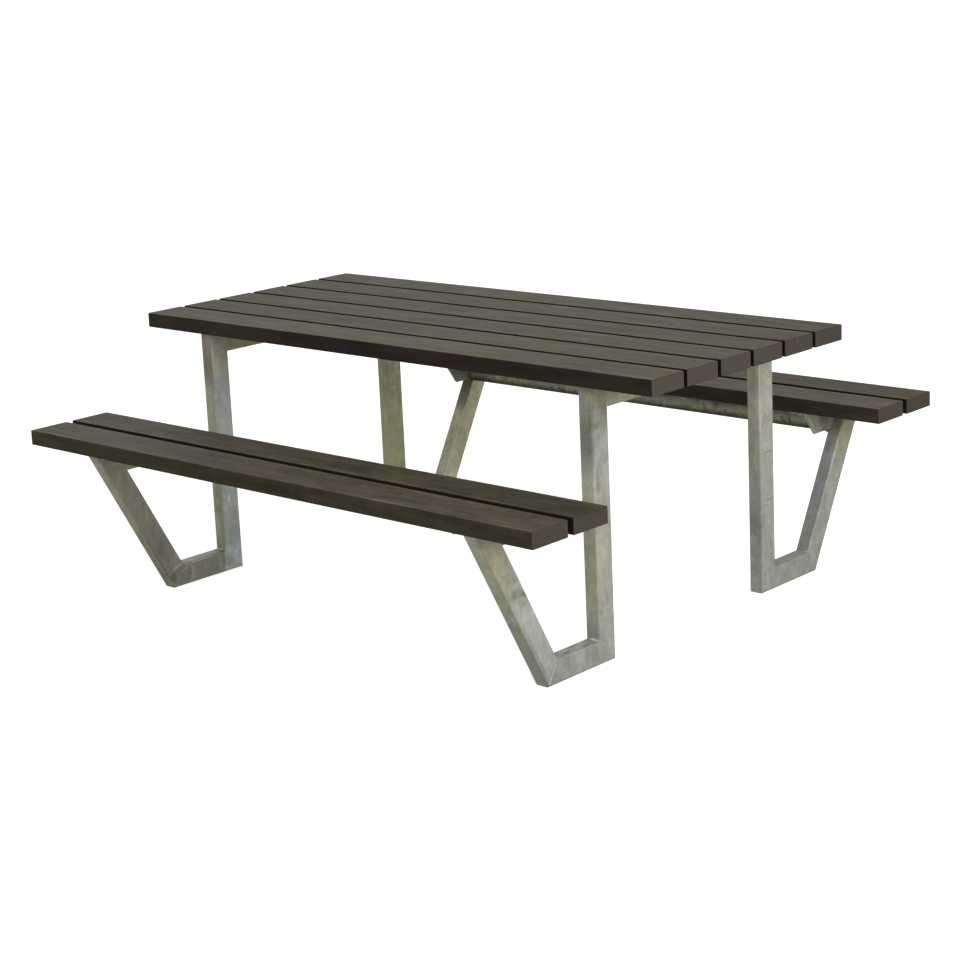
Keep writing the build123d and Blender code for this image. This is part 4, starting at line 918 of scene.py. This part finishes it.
# white studio dome far behind the floor's edge; it neither lights nor shades the object
me = bpy.data.meshes.new("backdrop")
bm = bmesh.new()
bmesh.ops.create_uvsphere(bm, u_segments=48, v_segments=24, radius=60.0)
bmesh.ops.reverse_faces(bm, faces=bm.faces)
bm.to_mesh(me)
bm.free()
m = bpy.data.materials.new("backdrop_white")
m.use_nodes = True
t = Tree(m.node_tree)
tc = t.add("ShaderNodeTexCoord")
a = t.noise(tc.outputs["Object"], 0.02, 2.0, 0.5)
e = t.add("ShaderNodeEmission", None, Color=t.mix(a, (1.0, 1.0, 1.0), (0.99, 0.99, 0.99)), Strength=1.25)
o = t.add("ShaderNodeOutputMaterial")
t.nt.links.new(e.outputs[0], o.inputs["Surface"])
me.materials.append(m)
dome = bpy.data.objects.new("backdrop", me)
bpy.context.scene.collection.objects.link(dome)
dome.visible_diffuse = False
dome.visible_glossy = False
dome.visible_shadow = False

SKY = (1.0, 1.0, 1.0)
SKY_K = 0.42
GROUND = (0.55, 0.56, 0.46)
GROUND_K = 0.92
KEY_K = 220.0

world = bpy.data.worlds.new("studio")
bpy.context.scene.world = world
world.use_nodes = True
t = Tree(world.node_tree)
tc = t.add("ShaderNodeTexCoord")
dx, dy, dz = t.sep(tc.outputs["Generated"])
up = t.step(dz, -0.02, 0.02)
col = t.mix(up, tuple(c * GROUND_K for c in GROUND), tuple(c * SKY_K for c in SKY))
bg = t.add("ShaderNodeBackground", None, Color=col, Strength=1.0)
out = t.add("ShaderNodeOutputWorld")
t.nt.links.new(bg.outputs[0], out.inputs[0])


def area(name, loc, target, size, power, color=(1, 1, 1)):
    d = bpy.data.lights.new(name, "AREA")
    d.shape = "RECTANGLE"
    d.size, d.size_y = size
    d.energy = power
    d.color = color
    o = bpy.data.objects.new(name, d)
    o.location = loc
    o.rotation_mode = "QUATERNION"
    o.rotation_quaternion = (Vector(target) - Vector(loc)).to_track_quat("-Z", "Y")
    bpy.context.scene.collection.objects.link(o)
    return o


area("key_side", (5.2, 0.6, 2.6), (0.0, 0.0, 0.4), (5.0, 3.6), KEY_K)
area("fill_front", (0.6, -5.2, 2.6), (0.0, 0.0, 0.4), (5.0, 3.6), 55.0)
area("fill_corner", (3.7, -3.9, 3.6), (0.0, 0.0, 0.4), (3.0, 2.5), 119.0)
area("rim_back", (-4.0, 3.2, 2.6), (0.0, 0.0, 0.6), (5.0, 2.6), 21.0)

cam = bpy.data.cameras.new("camera")
cam.sensor_fit = "HORIZONTAL"
cam.sensor_width = 36.0
cam.lens = 2098.2 * 36.0 / 962.0
cam.shift_y = -0.08283
cam.clip_start, cam.clip_end = 0.05, 500.0
co = bpy.data.objects.new("camera", cam)
bpy.context.scene.collection.objects.link(co)
az, el, roll = math.radians(42.92), math.radians(12.39), math.radians(-2.63)
d = Vector((-math.sin(az) * math.cos(el), math.cos(az) * math.cos(el), -math.sin(el)))
right = d.cross(Vector((0, 0, 1))).normalized()
up_v = right.cross(d)
r2 = right * math.cos(roll) + up_v * math.sin(roll)
u2 = up_v * math.cos(roll) - right * math.sin(roll)
m = Matrix(((r2.x, u2.x, -d.x, 3.7109), (r2.y, u2.y, -d.y, -3.9829), (r2.z, u2.z, -d.z, 1.6861), (0, 0, 0, 1)))
co.matrix_world = m
bpy.context.scene.camera = co
bpy.context.scene.view_settings.view_transform = "Standard"
bpy.context.scene.view_settings.look = "None"
